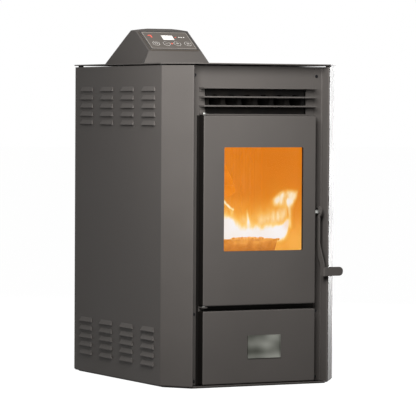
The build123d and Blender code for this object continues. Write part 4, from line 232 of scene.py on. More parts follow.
def stove_black(firelit=False):
    """Heat-resistant silicone paint on welded sheet: matte black, greyed by ash in patches."""
    patterns = (45, 4), (1.5, 2)
    material, tree, place, ash, tooth = start("heat_resistant_paint", *patterns, firelit=firelit)
    glow = wall_glow(tree, place) if firelit else {}
    return surface(
        material,
        rough=(ash, 0.7, 0.92),
        colour=(ash, (0.42, "#0e0c0b"), (0.72, "#1e1b18")),
        relief=(tooth, 0.1, 0.5),
        inputs={"Specular IOR Level": 0.15, **glow},
    )


def cast_iron(firelit=False, hot=False):
    """Sand-cast grey iron: a pebbled skin of 1.5 mm grit, sooted; on the burn pot, painted
    firelight in amber and brown.
    """
    name = "sand_cast_iron" + ("_hot" if hot else "")
    material, tree, place, grit, soot = start(name, (1.5, 3), (30, 3), firelit=firelit)
    glow = {}
    # painted firelight on the burn pot
    if hot:
        glow = pot_firelight(tree, place)
    elif firelit:
        glow = wall_glow(tree, place)
    return surface(
        material,
        rough=(grit, 0.68, 0.9),
        colour=(soot, (0.4, "#201d1b"), (0.7, "#463c33")),
        relief=(grit, 0.35, 0.8),
        inputs={"Metallic": 0.35, **glow},
    )


def raw_steel(firelit=False):
    """Bare drawn steel tube and plate: browned by heat in patches, with draw lines that run
    front to back, too fine to show and drawn 1.2 mm wide."""
    patterns = (1.2, 2, 1, 40, 1), (40, 3)
    material, tree, place, line, stain = start("bare_drawn_steel", *patterns, firelit=firelit)
    glow = wall_glow(tree, place) if firelit else {}
    return surface(
        material,
        rough=(line, 0.38, 0.55),
        colour=(stain, (0.35, "#4b4139"), (0.65, "#78706a")),
        relief=(line, 0.03, 0.5),
        inputs={"Metallic": 0.85, **glow},
    )


def stainless(firelit=False):
    """Cold-rolled stainless sheet in the fire path: straw and blue-grey temper colours in
    patches, with rolling lines too fine to show, drawn 0.9 mm wide."""
    patterns = (60, 3), (0.9, 2, 60, 1, 1)
    material, tree, place, temper, line = start("tempered_stainless", *patterns, firelit=firelit)
    glow = wall_glow(tree, place) if firelit else {}
    return surface(
        material,
        rough=(line, 0.28, 0.42),
        colour=(temper, (0.35, "#6d6a72"), (0.65, "#a28f74")),
        relief=(line, 0.02, 0.5),
        inputs={"Metallic": 1.0, **glow},
    )


def cast_aluminium():
    """Sand-cast aluminium housing: pale, grainy and dull, its grain drawn at 1.6 mm."""
    material, _, _, grain, cloud = start("sand_cast_aluminium", (1.6, 2), (25, 2))
    return surface(
        material,
        rough=(grain, 0.45, 0.62),
        colour=(cloud, (0.35, "#8f9090"), (0.65, "#aaabab")),
        relief=(grain, 0.2, 0.6),
        inputs={"Metallic": 0.9},
    )


def motor_enamel():
    """Stamped steel motor can in black enamel: smooth and shiny with light dust."""
    material, _, _, dust, skin = start("black_enamel", (18, 3), (3, 2))
    return surface(
        material,
        rough=(dust, 0.28, 0.46),
        colour=(dust, (0.35, "#1d1f21"), (0.65, "#34363a")),
        relief=(skin, 0.04, 0.4),
    )


def bronze():
    """Sintered oil-filled bronze bush: warm brown-yellow metal, its pores drawn at 1 mm."""
    material, _, _, pore = start("sintered_bronze", (1.0, 2))
    return surface(
        material,
        rough=(pore, 0.35, 0.55),
        colour=(pore, (0.35, "#7a5a33"), (0.65, "#b08850")),
        relief=(pore, 0.05, 0.6),
        inputs={"Metallic": 1.0},
    )


def alumina():
    """Unglazed pressed alumina ceramic: chalk-cream, its fine grain drawn at 2 mm."""
    material, _, _, grain = start("unglazed_alumina", (2.0, 3))
    return surface(
        material,
        rough=(grain, 0.55, 0.7),
        colour=(grain, (0.35, "#cfc7b4"), (0.65, "#e4dfd0")),
        relief=(grain, 0.05, 0.5),
    )


def silicone_foam():
    """Extruded black silicone sponge: dead matte, its open cells drawn at 1.2 mm."""
    material, tree, place = start("silicone_sponge")
    cell = add(tree, "ShaderNodeTexVoronoi", {"Vector": place, "Scale": per(1.2)})["Distance"]
    return surface(
        material,
        rough=(cell, 0.78, 0.92),
        colour=(cell, (0.2, "#121212"), (0.8, "#222222")),
        relief=(cell, 0.15, 0.6),
    )


def stove_glass():
    """Heat-resistant glass ceramic, rolled and polished: faintly amber and smooth, with a trace
    of smoke film in wide clouds."""
    material, _, _, film = start("glass_ceramic", (70, 3))
    return surface(
        material,
        rough=(film, 0.0, 0.02),
        colour=(film, (0.35, "#fdf6ea"), (0.65, "#fffcf6")),
        inputs={"IOR": 1.45, "Specular Tint": linear("#5a544c"), "Transmission Weight": 1.0},
    )


def glass_fibre():
    """Knitted glass-fibre rope and tape, graphite-coated: charcoal and fuzzy, with stitches
    2.8 mm apart, because a wave texture repeats every 0.314 of its 9 mm scale."""
    material, tree, place = start("knitted_glass_fibre")
    knit = {"Vector": place, "Scale": per(9), "Distortion": 2.5, "Detail": 2.0}
    stitch = add(tree, "ShaderNodeTexWave", knit)["Fac"]
    return surface(
        material,
        rough=(stitch, 0.75, 0.9, 0, 1),
        colour=(stitch, (0.1, "#1d1c1b"), (0.9, "#413e3b")),
        relief=(stitch, 0.4, 0.7),
        inputs={"Sheen Weight": 0.3},
    )


def brushed_plate():
    """Stainless badge blank, brushed along its length: dark satin metal with pale streaks,
    its brush lines too fine to show and drawn 0.7 mm wide."""
    patterns = (0.7, 3, 60, 1, 1), (55, 1, 1.6, 1, 0.8)
    material, _, _, line, sweep = start("brushed_stainless", *patterns)
    return surface(
        material,
        rough=(line, 0.3, 0.42),
        colour=(sweep, (0.4, "#41423c"), (0.66, "#85867f")),
        relief=(line, 0.02, 0.6),
        inputs={"Metallic": 1.0},
    )


def keypad_film():
    """Matte-hardened polyester overlay on a moulded plate: flat taupe, its fine tooth drawn at
    1.4 mm."""
    look = bpy.context.scene.stove_keypad
    material, tree, _, tooth = start("printed_polyester", (1.4, 2))
    return surface(
        material,
        rough=(tooth, 0.42, 0.55),
        relief=(tooth, 0.04, 0.5),
        inputs={"Base Color": mottled(tree, look.film, tooth, 1.0, 1.06)},
    )


def display_lens():
    """Back-lit display behind clear acrylic: an even milky white with faint 14 mm clouds."""
    material, tree, _, cloud = start("backlit_acrylic", (14, 1))
    milk = (0.3, "#d6d1ce"), (0.7, "#f0edea")
    lit = add(tree, "ShaderNodeValToRGB", {"Fac": cloud}, milk)["Color"]
    return surface(
        material,
        rough=(cloud, 0.12, 0.2),
        inputs={"Base Color": lit, "Emission Color": lit, "Emission Strength": 0.55},
    )


def circuit_board():
    """Glass-epoxy board with green solder mask: glossy, with copper tracks round 2 mm cells
    showing through."""
    material, tree, place = start("green_solder_mask")
    cells = {"Vector": place, "Scale": per(4), "Mortar Size": 0.08}
    track = add(tree, "ShaderNodeTexBrick", cells)["Fac"]
    return surface(
        material,
        rough=(track, 0.25, 0.4, 0, 1),
        colour=(track, (0.2, "#0e4d26"), (0.8, "#2f7a48")),
        relief=(track, 0.05, 0.5),
    )


def black_plastic():
    """Injection-moulded black polyamide: spark-eroded mould texture, drawn at 1.2 mm."""
    material, _, _, grain = start("moulded_polyamide", (1.2, 2))
    return surface(
        material,
        rough=(grain, 0.45, 0.6),
        colour=(grain, (0.35, "#151515"), (0.65, "#232323")),
        relief=(grain, 0.08, 0.5),
    )


def flat_glow(name, colour, strength):
    """Small printed or lit mark: satin screen ink, whose emission, where it has any, is painted
    light, or a moulded lens with a lamp behind it.
    """
    material, _, _, grain = start(name, (1.0, 1))
    tone = linear(colour)
    lit = {"Base Color": tone, "Emission Color": tone, "Emission Strength": strength}
    return surface(material, rough=(grain, 0.4, 0.5), inputs=lit)


FINISHES = {
    "powder_coat": powder_coat,
    "galvanised": galvanised,
    "zinc_plate": zinc_plate,
    "stove_black": stove_black,
    "cast_iron": cast_iron,
    "raw_steel": raw_steel,
    "stainless": stainless,
    "cast_aluminium": cast_aluminium,
    "motor_steel": motor_enamel,
    "bronze": bronze,
    "ceramic": alumina,
    "rubber": silicone_foam,
    "stove_glass": stove_glass,
    "fibre_rope": glass_fibre,
    "brushed_plate": brushed_plate,
    "keypad_foil": keypad_film,
    "display_lens": display_lens,
    "key_plastic": keypad_film,
    "circuit_board": circuit_board,
    "black_plastic": black_plastic,
}
MADE = {}


def finish(slot):
    """The material for a record slot, made on first use."""
    if slot not in MADE:
        MADE[slot] = FINISHES[slot]()
    return MADE[slot]


# ---------------------------------------------------------------- meshes
def piece(name, body, material):
    """Empty mesh object that rides on a body of the stove, with its material in place."""
    shape = bpy.data.objects.new(name, bpy.data.meshes.new(name))
    bpy.context.scene.collection.objects.link(shape)
    shape.data.materials.append(material)
    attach(shape, body)
    return shape


def pour(shape, mesh, smooth=True):
    """Writes a bmesh into a piece and frees it."""
    bmesh.ops.recalc_face_normals(mesh, faces=mesh.faces)
    for face in mesh.faces:
        face.smooth = smooth
    mesh.to_mesh(shape.data)
    mesh.free()
    shape.data.update()


def grid_faces(mesh, rows, closed=False):
    """Quads between rows of vertices; closed joins each row's ends."""
    for low, high in zip(rows, rows[1:]):
        count = len(low) if closed else len(low) - 1
        for i in range(count):
            j = (i + 1) % len(low)
            mesh.faces.new((low[i], low[j], high[j], high[i]))


# ---------------------------------------------------------------- fire
WALL_SKIN = 2  # mm in from the firebox's outer faces, where what faces the fire starts
WALL_DUSK = (150, 20)  # mm under the fire's foot between which the walls dim
WALL_DIM = 0.3  # share of the glow that is left under that

# Colours of the glow from low to high or from cool to hot, with their places on that way
WALL_FIRELIGHT = (
    (0.0, "#f4ad4c"),
    (0.22, "#efa03c"),
    (0.42, "#e58f2b"),
    (0.62, "#dc801b"),
    (1.0, "#da7b17"),
)
# painted firelight on the burn pot, from its foot to its rim
POT_FIRELIGHT = ((0.0, "#8f4f1a"), (0.55, "#c37529"), (0.85, "#d68835"), (1.0, "#e8a24c"))
FLAME_HEAT = (
    (0.0, "#e8902c"),
    (0.16, "#f2a83f"),
    (0.36, "#fbcb6c"),
    (0.58, "#fbe3ad"),
    (0.92, "#f3f3fa"),
)
EMBER_HEAT = ((0.3, "#a85a1c"), (0.5, "#e39438"), (0.66, "#ffdf9a"))


def inside_firebox(tree, place):
    """1 on what faces the fire and 0 on the outside of the firebox, with the height's socket."""
    low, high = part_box("firebox")
    skin = WALL_SKIN * MM
    split = add(tree, "ShaderNodeSeparateXYZ", {"Vector": place})
    beside = add(tree, "ShaderNodeMath", {0: split["X"]}, operation="ABSOLUTE")[0]
    rows = (
        (beside, high[0] - skin, "LESS_THAN"),
        (split["Y"], high[1] - skin, "LESS_THAN"),
        (split["Y"], low[1] + skin, "GREATER_THAN"),
        (split["Z"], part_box("air_box")[0][2] - skin, "GREATER_THAN"),
        (split["Z"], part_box("flame_baffle")[1][2] - skin, "LESS_THAN"),
    )
    inside = 1.0
    for value, limit, test in rows:
        passed = add(tree, "ShaderNodeMath", {0: value, 1: limit}, operation=test)[0]
        inside = add(tree, "ShaderNodeMath", {0: inside, 1: passed}, operation="MULTIPLY")[0]
    return inside, split["Z"]


def glow_colour(tree, height, low, high, drift, sway, stops):
    """Colour of firelight by height between low and high, in m, moved up and down by a drifting
    noise, at most by sway of that height."""
    span = {"Value": height, "From Min": low, "From Max": high}
    rise = add(tree, "ShaderNodeMapRange", span)["Result"]
    span = {"Value": drift, "To Min": -sway, "To Max": sway, **NOISE_SPAN}
    moved = add(tree, "ShaderNodeMapRange", span)["Result"]
    level = add(tree, "ShaderNodeMath", {0: rise, 1: moved}, operation="ADD")[0]
    return add(tree, "ShaderNodeValToRGB", {"Fac": level}, stops)["Color"]


def wall_glow(tree, place):
    """Firelight on the firebox's walls: deep orange above, yellower and uneven near the pot,
    and dimmer below the fire's foot."""
    look = bpy.context.scene.stove_fire
    inside, height = inside_firebox(tree, place)
    scale = (1 / 1.5, 1 / 1.5, 1)
    wide = add(tree, "ShaderNodeMapping", {"Vector": place, "Scale": scale})["Vector"]
    drift = add(tree, "ShaderNodeTexNoise", {"Vector": wide, "Scale": per(95), "Detail": 3})["Fac"]
    dusk_low, dusk_high = (look.foot - under * MM for under in WALL_DUSK)
    dusk = {"Value": height, "From Min": dusk_low, "From Max": dusk_high}
    dusk.update({"To Min": WALL_DIM * look.glow, "To Max": look.glow})
    fade = add(tree, "ShaderNodeMapRange", dusk)["Result"]
    strength = add(tree, "ShaderNodeMath", {0: inside, 1: fade}, operation="MULTIPLY")[0]
    colour = glow_colour(tree, height, look.foot, look.top, drift, 0.14, WALL_FIRELIGHT)
    return {"Emission Color": colour, "Emission Strength": strength}


def pot_firelight(tree, place):
    """Painted firelight on the pot's iron, as emission: amber at the rim, browner towards the foot.
    """
    low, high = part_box("burn_pot")
    height = add(tree, "ShaderNodeSeparateXYZ", {"Vector": place})["Z"]
    drift = add(tree, "ShaderNodeTexNoise", {"Vector": place, "Scale": per(24), "Detail": 3})["Fac"]
    return {
        "Emission Color": glow_colour(tree, height, low[2], high[2], drift, 0.2, POT_FIRELIGHT),
        "Emission Strength": bpy.context.scene.stove_fire.pot,
    }


def burning_gas():
    """Burning gas: white where it is thick, yellow then orange towards its edges, and clear
    where it ends. The sheet's own heat says how thick it is, and 13 mm streaks rise in it."""
    material, tree, _, streak = start("burning_gas", (13, 3, 1, 1, 4))
    heat = add(tree, "ShaderNodeAttribute", attribute_name="sheet_heat")["Fac"]
    span = {"Value": streak, "To Min": 0.72, "To Max": 1.28, **NOISE_SPAN}
    flicker = add(tree, "ShaderNodeMapRange", span)["Result"]
    hot = add(tree, "ShaderNodeMath", {0: heat, 1: flicker}, operation="MULTIPLY")[0]
    thick = {"Value": hot, "From Min": 0.03, "From Max": 0.7, "To Max": 0.96}
    inputs = {
        "Base Color": (0.0, 0.0, 0.0, 1.0),
        "Specular IOR Level": 0.0,
        "Emission Color": add(tree, "ShaderNodeValToRGB", {"Fac": hot}, FLAME_HEAT)["Color"],
        "Emission Strength": bpy.context.scene.stove_fire.flame,
        "Alpha": add(tree, "ShaderNodeMapRange", thick)["Result"],
    }
    return surface(material, rough=(streak, 0.9, 1.0), inputs=inputs)


def glowing_pellets():
    """Wood pellets burning through: glowing amber skins, yellow-hot where they crack."""
    material, tree, _, crack = start("glowing_pellets", (4, 3))
    glow = add(tree, "ShaderNodeValToRGB", {"Fac": crack}, EMBER_HEAT)["Color"]
    return surface(
        material,
        rough=(crack, 0.7, 0.9),
        colour=(crack, (0.35, "#1d130d"), (0.65, "#3a2413")),
        relief=(crack, 0.4, 0.8),
        inputs={"Emission Color": glow, "Emission Strength": 1.1},
    )


def heat_at(x, z, strokes):
    """Heat of a flame sheet at a point: the sum of its strokes, each cooling sideways."""
    total = 0.0
    spot = Vector((x, z))
    for width, heat, points in strokes:
        near = math.inf
        for a, b in zip(points, points[1:]):
            start_at, end_at = Vector(a), Vector(b)
            along = end_at - start_at
            share = max(0.0, min(1.0, (spot - start_at).dot(along) / along.length_squared))
            near = min(near, (spot - start_at - along * share).length / width)
        total += heat * math.exp(-near * near)
    return total


# Sheets of flame, in mm unless a comment says otherwise
FLAME_REACH = 149.0  # just inside the firebox's side walls
FLAME_MESH = 3.0  # side of the sheet's squares
FLAME_EDGE = 1.9  # widths of the widest stroke that the sheet reaches past its strokes
FLAME_FOOT = 0.6  # share of that reach below the lowest stroke
FLAME_COLD = 0.035  # heat under which the sheet is cut away
RIPPLE_X, RIPPLE_Z = 17, 23  # steps sideways and up in which the ripple turns by a radian

# Strokes of each curtain: width, heat, and the points it runs through, in x and z
BACK_FLAMES = (
    (32, 0.46, ((-70, 452), (-40, 454), (0, 446), (50, 442), (96, 446), (140, 466))),
    (30, 0.14, ((-66, 486), (-50, 492))),
    (46, 0.12, ((64, 500), (100, 530), (140, 520))),
    (30, 0.12, ((96, 470), (130, 480))),
)
MIDDLE_FLAMES = (
    (22, 0.95, ((-70, 400), (-62, 430), (-62, 452))),
    (18, 0.7, ((-40, 402), (-34, 432), (-42, 446))),
    (21, 1.25, ((-58, 404), (-20, 411), (17, 416), (55, 416), (92, 417), (112, 420))),
    (13, 0.8, ((100, 418), (120, 430), (138, 450))),
    (16, 0.3, ((-14, 440), (4, 446), (30, 440))),
    (3.2, 0.36, ((1, 486), (4, 464), (6, 450))),
    (7, 0.26, ((2, 472), (7, 446))),
    (13, 0.22, ((62, 440), (92, 446))),
)
FRONT_FLAMES = (
    (3.2, 0.6, ((-86, 521), (-73, 504), (-60, 493), (-50, 488))),
    (8, 0.2, ((-84, 510), (-66, 494), (-52, 480))),
    (7, 0.3, ((-56, 480), (-56, 468))),
)
HOOK_FLAME = (
    (12, 0.5, ((78, 516), (92, 528), (112, 534), (130, 532))),
    (16, 0.46, ((76, 504), (92, 511), (118, 514))),
    (7, 0.26, ((148, 540), (140, 526), (132, 510))),
    (13, 0.26, ((140, 520), (128, 506))),
    (5, 0.34, ((114, 512), (119, 484), (120, 456), (124, 434))),
    (13, 0.24, ((104, 498), (112, 474), (112, 444))),
    (10, 0.16, ((128, 494), (130, 462), (134, 440))),
)

# Each curtain: how far it hangs behind the middle of the pot, how far its own middle bows
# forward, and how far it ripples at its top
CURTAINS = (
    ("flames_back", BACK_FLAMES, 22, -14, 5),
    ("flames_middle", MIDDLE_FLAMES, -2, 9, 4),
    ("flames_front", FRONT_FLAMES, -22, 10, 5),
    ("flames_hook", HOOK_FLAME, -38, 8, 4),
)


def flame_sheet(name, material, strokes, depth, bow, sway):
    """One curtain of flame: a curved sheet at y = depth mm, cut to the outline of its strokes."""
    xs = [x for _, _, points in strokes for x, _ in points]
    zs = [z for _, _, points in strokes for _, z in points]
    edge = max(width for width, _, _ in strokes) * FLAME_EDGE
    low_x, high_x = max(min(xs) - edge, -FLAME_REACH), min(max(xs) + edge, FLAME_REACH)
    low_z, high_z = min(zs) - edge * FLAME_FOOT, max(zs) + edge
    wide = round((high_x - low_x) / FLAME_MESH)
    tall = round((high_z - low_z) / FLAME_MESH)
    mesh = bmesh.new()
    layer = mesh.verts.layers.float.new("sheet_heat")
    rows = []
    for k in range(tall + 1):
        z = low_z + (high_z - low_z) * k / tall
        row = []
        for i in range(wide + 1):
            x = low_x + (high_x - low_x) * i / wide
            ripple = sway * math.sin(x / RIPPLE_X + z / RIPPLE_Z) * (k / tall)
            curve = bow * math.sin(math.pi * (i / wide)) + ripple
            vertex = mesh.verts.new((x * MM, (depth - curve) * MM, z * MM))
            vertex[layer] = heat_at(x, z, strokes)
            row.append(vertex)
        rows.append(row)
    grid_faces(mesh, rows)
    cold = [face for face in mesh.faces if max(v[layer] for v in face.verts) < FLAME_COLD]
    bmesh.ops.delete(mesh, geom=cold, context="FACES")
    pour(piece(name, "cabinet", material), mesh)


def build_flames():
    """Flames over the pot: three curtains one behind the other, and the hooked flame at right."""
    gas = burning_gas()
    low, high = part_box("burn_pot")
    middle = (low[1] + high[1]) / 2 / MM
    for name, strokes, behind, bow, sway in CURTAINS:
        flame_sheet(name, gas, strokes, middle + behind, bow, sway)


# The heap of wood pellets in the pot, in mm unless a comment says otherwise
PELLETS = 420  # pieces
PELLET_RADIUS = 3
PELLET_SIDES = 8
PELLET_LENGTHS = (9, 15)
PELLET_TILT = 0.3  # radians either way from lying level
HEAP_HALF = (82, 36)  # in x and y
HEAP_EDGE = 9  # below the pot's rim
HEAP_CROWN = 13  # of its middle over its edge
HEAP_LOOSE = 6  # scatter downwards
HEAP_SEED = 11


def build_embers():
    """Heap of 6 mm wood pellets burning in the pot."""
    low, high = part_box("burn_pot")
    draw = random.Random(HEAP_SEED)
    mesh = bmesh.new()
    for _ in range(PELLETS):
        a = draw.uniform(0, 2 * math.pi)
        r = math.sqrt(draw.random())
        x = (low[0] + high[0]) / 2 + HEAP_HALF[0] * MM * r * math.cos(a)
        y = (low[1] + high[1]) / 2 + HEAP_HALF[1] * MM * r * math.sin(a)
        dome = HEAP_CROWN * math.sqrt(max(0.0, 1.0 - r * r))
        z = high[2] - (HEAP_EDGE - dome + draw.uniform(0, HEAP_LOOSE)) * MM
        length = draw.uniform(*PELLET_LENGTHS) * MM
        turn = Matrix.Rotation(draw.uniform(0, math.pi), 4, "Z")
        lie = math.pi / 2 + draw.uniform(-PELLET_TILT, PELLET_TILT)
        bmesh.ops.create_cone(
            mesh,
            cap_ends=True,
            segments=PELLET_SIDES,
            radius1=PELLET_RADIUS * MM,
            radius2=PELLET_RADIUS * MM,
            depth=length,
            matrix=Matrix.Translation((x, y, z)) @ (turn @ Matrix.Rotation(lie, 4, "Y")),
        )
    pour(piece("burning_pellets", "cabinet", glowing_pellets()), mesh, smooth=False)


FIRE_LIGHT_COLOUR = "#ffb054"
FIRE_LIGHT_LIFT = 50  # mm over the pot's rim
FIRE_LIGHT_RADIUS = 30  # mm


def build_fire_light():
    """Soft warm light that the fire throws on the inside of the firebox, itself never seen."""
    low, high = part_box("burn_pot")
    lamp = bpy.data.lights.new("fire_light", "POINT")
    lamp.energy = bpy.context.scene.stove_fire.lamp
    lamp.shadow_soft_size = FIRE_LIGHT_RADIUS * MM
    lamp.color = linear(FIRE_LIGHT_COLOUR)[:3]
    holder = bpy.data.objects.new("fire_light", lamp)
    x, y = (low[0] + high[0]) / 2, (low[1] + high[1]) / 2
    holder.location = (x, y, high[2] + FIRE_LIGHT_LIFT * MM)
    holder.visible_camera = False
    holder.visible_glossy = False
    holder.visible_transmission = False
    bpy.context.scene.collection.objects.link(holder)


# ---------------------------------------------------------------- keypad print
# In mm on the keypad's face: x to the right and y up the slope from its middle
INK_THICK = 0.08
INK_LIFT = 0.02  # over the film or key, which keeps print and face apart
LENS_PROUD = 0.25
KEY_RING = 10.9  # radius of the octagon round a key
KEY_FACE_DEPTH = 0.3  # under a key's highest point, what still counts as its face
SIGN_HALF = 4.6  # half the width of a sign, and the ring's radius
SIGN_BOLD = 1.2  # times the line's width, for plus and minus
SIGN_OVERPRINT = 0.01  # of one bar over the other
RING_SIDES, RING_START, RING_PART = 18, 0.66 * math.pi, 0.84  # the ring is open at its top
RING_BAR = (1, 6)  # from its centre up
LINES_HALF = 4.4
LINES_UP = (-3, 0, 3)
MITRE_LIMIT = 0.35  # least cosine at which a corner's mitre still grows
FLAG_LENS = ((-46, 27), (-46, 14.5), (-50, 14.5), (-50, 23), (-57, 23), (-57, 27))
RED_DIAMOND = 3.6  # radius, between the second and third keys
RED_ROUND = (27, 16, 2.0)  # x, y and radius
WHITE_LENSES = ((38, 17), (45.5, 17), (53, 17))
WHITE_RADIUS = 2.6


def keypad_place():
    """Matrix of the keypad's face: x to the right, y up the slope, z out of it."""
    plate = NODES["keypad_plate"].data
    face = max(plate.polygons, key=lambda polygon: polygon.area * max(0.0, polygon.normal.z))
    out = face.normal.normalized()
    right = Vector((1, 0, 0))
    up = out.cross(right)
    places = [vertex.co for vertex in plate.vertices]
    across = [co.x for co in places]
    slope = [co.dot(up) for co in places]
    proud = max(co.dot(out) for co in places)
    middle = right * (min(across) + max(across)) / 2 + up * (min(slope) + max(slope)) / 2
    turn = Matrix((right, up, out)).transposed().to_4x4()
    return Matrix.Translation(middle + out * proud) @ turn


def key_spots():
    """Centres of the four keys on the keypad's face, in its own x, y and z."""
    inverse = keypad_place().inverted()
    spots = []
    for i in range(1, 5):
        points = [inverse @ v.co for v in NODES["key_%d" % i].data.vertices]
        top = max(p.z for p in points)
        face = [p for p in points if p.z > top - KEY_FACE_DEPTH * MM]
        x = (min(p.x for p in face) + max(p.x for p in face)) / 2
        y = (min(p.y for p in face) + max(p.y for p in face)) / 2
        spots.append((x, y, top))
    return spots


def ring_points(x, y, radius, sides, turn=0.0, part=1.0):
    """Points round a centre from the angle turn on; with a part below 1, an open arc."""
    count = sides if part >= 1.0 else sides + 1
    angles = [turn + 2 * math.pi * part * i / sides for i in range(count)]
    return [(x + radius * math.cos(a), y + radius * math.sin(a)) for a in angles]


def stroke(mesh, points, width, z, closed=False):
    """Flat printed line through points, mitred at its corners and as thick as the ink."""
    count = len(points)
    sides = []
    for i in range(count):
        here = Vector(points[i])
        before = Vector(points[i - 1]) if closed or i else None
        after = Vector(points[(i + 1) % count]) if closed or i < count - 1 else None
        way = Vector((0, 0))
        if before is not None:
            way += (here - before).normalized()
        if after is not None:
            way += (after - here).normalized()
        way.normalize()
        side = Vector((-way.y, way.x))
        grow = 1
        if before is not None and after is not None:
            bend = (here - before).normalized()
            grow = 1 / max(MITRE_LIMIT, side.dot(Vector((-bend.y, bend.x))))
        sides.append((here + side * width / 2 * grow, here - side * width / 2 * grow))
    top = z + INK_THICK * MM
    rings = []
    for a, b in sides:
        corners = ((a.x, a.y, z), (b.x, b.y, z), (b.x, b.y, top), (a.x, a.y, top))
        rings.append([mesh.verts.new(corner) for corner in corners])
    if closed:
        rings.append(rings[0])
    grid_faces(mesh, rings, closed=True)
    if not closed:
        mesh.faces.new(rings[0])
        mesh.faces.new(rings[-1][::-1])


def lens(mesh, rows):
    """Low lens through rows of points from its foot up, closed at both ends."""
    rings = [[mesh.verts.new(point) for point in row] for row in rows]
    grid_faces(mesh, rings, closed=True)
    mesh.faces.new(rings[-1])
    mesh.faces.new(rings[0][::-1])


def round_lens(mesh, x, y, radius, sides=12):
    """Lens with this many sides and a rounded edge; x, y and radius in metres."""
    rows = []
    for share, lift in ((1.0, 0.0), (0.92, 0.6), (0.6, 1.0)):
        z = (INK_LIFT + LENS_PROUD * lift) * MM
        rows.append([(u, v, z) for u, v in ring_points(x, y, radius * share, sides)])
    lens(mesh, rows)


def sign_power(mesh, x, y, z, width):
    """Open ring with a bar at its top."""
    ring = ring_points(x, y, SIGN_HALF * MM, RING_SIDES, RING_START, RING_PART)
    stroke(mesh, ring, width, z)
    stroke(mesh, [(x, y + up * MM) for up in RING_BAR], width, z)


def sign_minus(mesh, x, y, z, width):
    """One level bar."""
    stroke(mesh, [(x - SIGN_HALF * MM, y), (x + SIGN_HALF * MM, y)], width * SIGN_BOLD, z)


def sign_plus(mesh, x, y, z, width):
    """A level bar with an upright one printed over it."""
    sign_minus(mesh, x, y, z, width)
    upright = [(x, y - SIGN_HALF * MM), (x, y + SIGN_HALF * MM)]
    stroke(mesh, upright, width * SIGN_BOLD, z + SIGN_OVERPRINT * MM)


def sign_settings(mesh, x, y, z, width):
    """Three level lines."""
    for up in LINES_UP:
        stroke(mesh, [(x + half * MM, y + up * MM) for half in (-LINES_HALF, LINES_HALF)], width, z)


def printed(name, mesh, material, body="cabinet", smooth=False):
    """Makes a piece of what was drawn flat, laid on the keypad's face."""
    shape = piece(name, body, material)
    bmesh.ops.transform(mesh, matrix=keypad_place(), verts=mesh.verts)
    pour(shape, mesh, smooth)


def build_key_print():
    """White octagon outlines round the keys and a plain sign on each."""
    # the ink's faint emission is a painted brightening; ink has no lamp
    ink = flat_glow("white_screen_ink", "#e6e2dc", 0.05)
    width = bpy.context.scene.stove_keypad.line * MM
    lift = INK_LIFT * MM
    outlines = bmesh.new()
    for x, y, _ in key_spots():
        octagon = ring_points(x, y, KEY_RING * MM, 8, math.pi / 8)
        stroke(outlines, octagon, width, lift, closed=True)
    printed("key_outlines", outlines, ink)
    signs = (sign_power, sign_minus, sign_plus, sign_settings)
    for i, ((x, y, top), sign) in enumerate(zip(key_spots(), signs)):
        mesh = bmesh.new()
        sign(mesh, x, y, top + lift, width)
        printed("key_sign_%d" % (i + 1), mesh, ink, body="key_" + "abcd"[i])


def build_lamps():
    """Red and white indicator lenses."""
    red = bmesh.new()
    spots = key_spots()
    round_lens(red, (spots[1][0] + spots[2][0]) / 2, spots[1][1], RED_DIAMOND * MM, sides=4)
    heights = (INK_LIFT * MM, (INK_LIFT + LENS_PROUD) * MM)
    lens(red, [[(x * MM, y * MM, z) for x, y in FLAG_LENS] for z in heights])
    round_lens(red, *(value * MM for value in RED_ROUND))
    printed("red_indicators", red, flat_glow("red_lens", "#e05a48", 0.3))
    white = bmesh.new()
    for x, y in WHITE_LENSES:
        round_lens(white, x * MM, y * MM, WHITE_RADIUS * MM, sides=6)
    glow = flat_glow("white_lens", "#e8e4df", 0.25)
    printed("white_indicators", white, glow, smooth=True)


def build_borders():
    """The film's pale printed border, and a dark line at its edge that paints the shadow round the
    raised plate.
    """
    look = bpy.context.scene.stove_keypad
    # name, half its width and height, and its line's width, in mm, then its colour
    # the second, dark line is a painted shadow round the plate's edge
    inks = (("film_border", 69.0, 41.5, 1.3, look.border), ("film_edge_shadow", 73.4, 45.9, 3.2, look.rim))
    for name, half_x, half_y, line, colour in inks:
        x, y = half_x * MM, half_y * MM
        border = bmesh.new()
        stroke(border, [(-x, -y), (x, -y), (x, y), (-x, y)], line * MM, INK_LIFT * MM, closed=True)
        printed(name, border, flat_glow(name + "_ink", colour, 0.0))


# ---------------------------------------------------------------- door rope
ROPE_CORNER = 20  # mm, radius of the door's corners at the middle of the rope
ROPE_CORNER_POINTS = 10
ROPE_STEP = 2.5  # mm between its rings
ROPE_SIDES = 16
ROPE_STRANDS = 4  # each way round
ROPE_LAY = 2.2  # mm of rope in which a strand turns by a radian of its wave
ROPE_CORE = 0.93  # share of the radius
ROPE_STRAND = 0.06  # share by which the strands stand proud of the core or lie under it


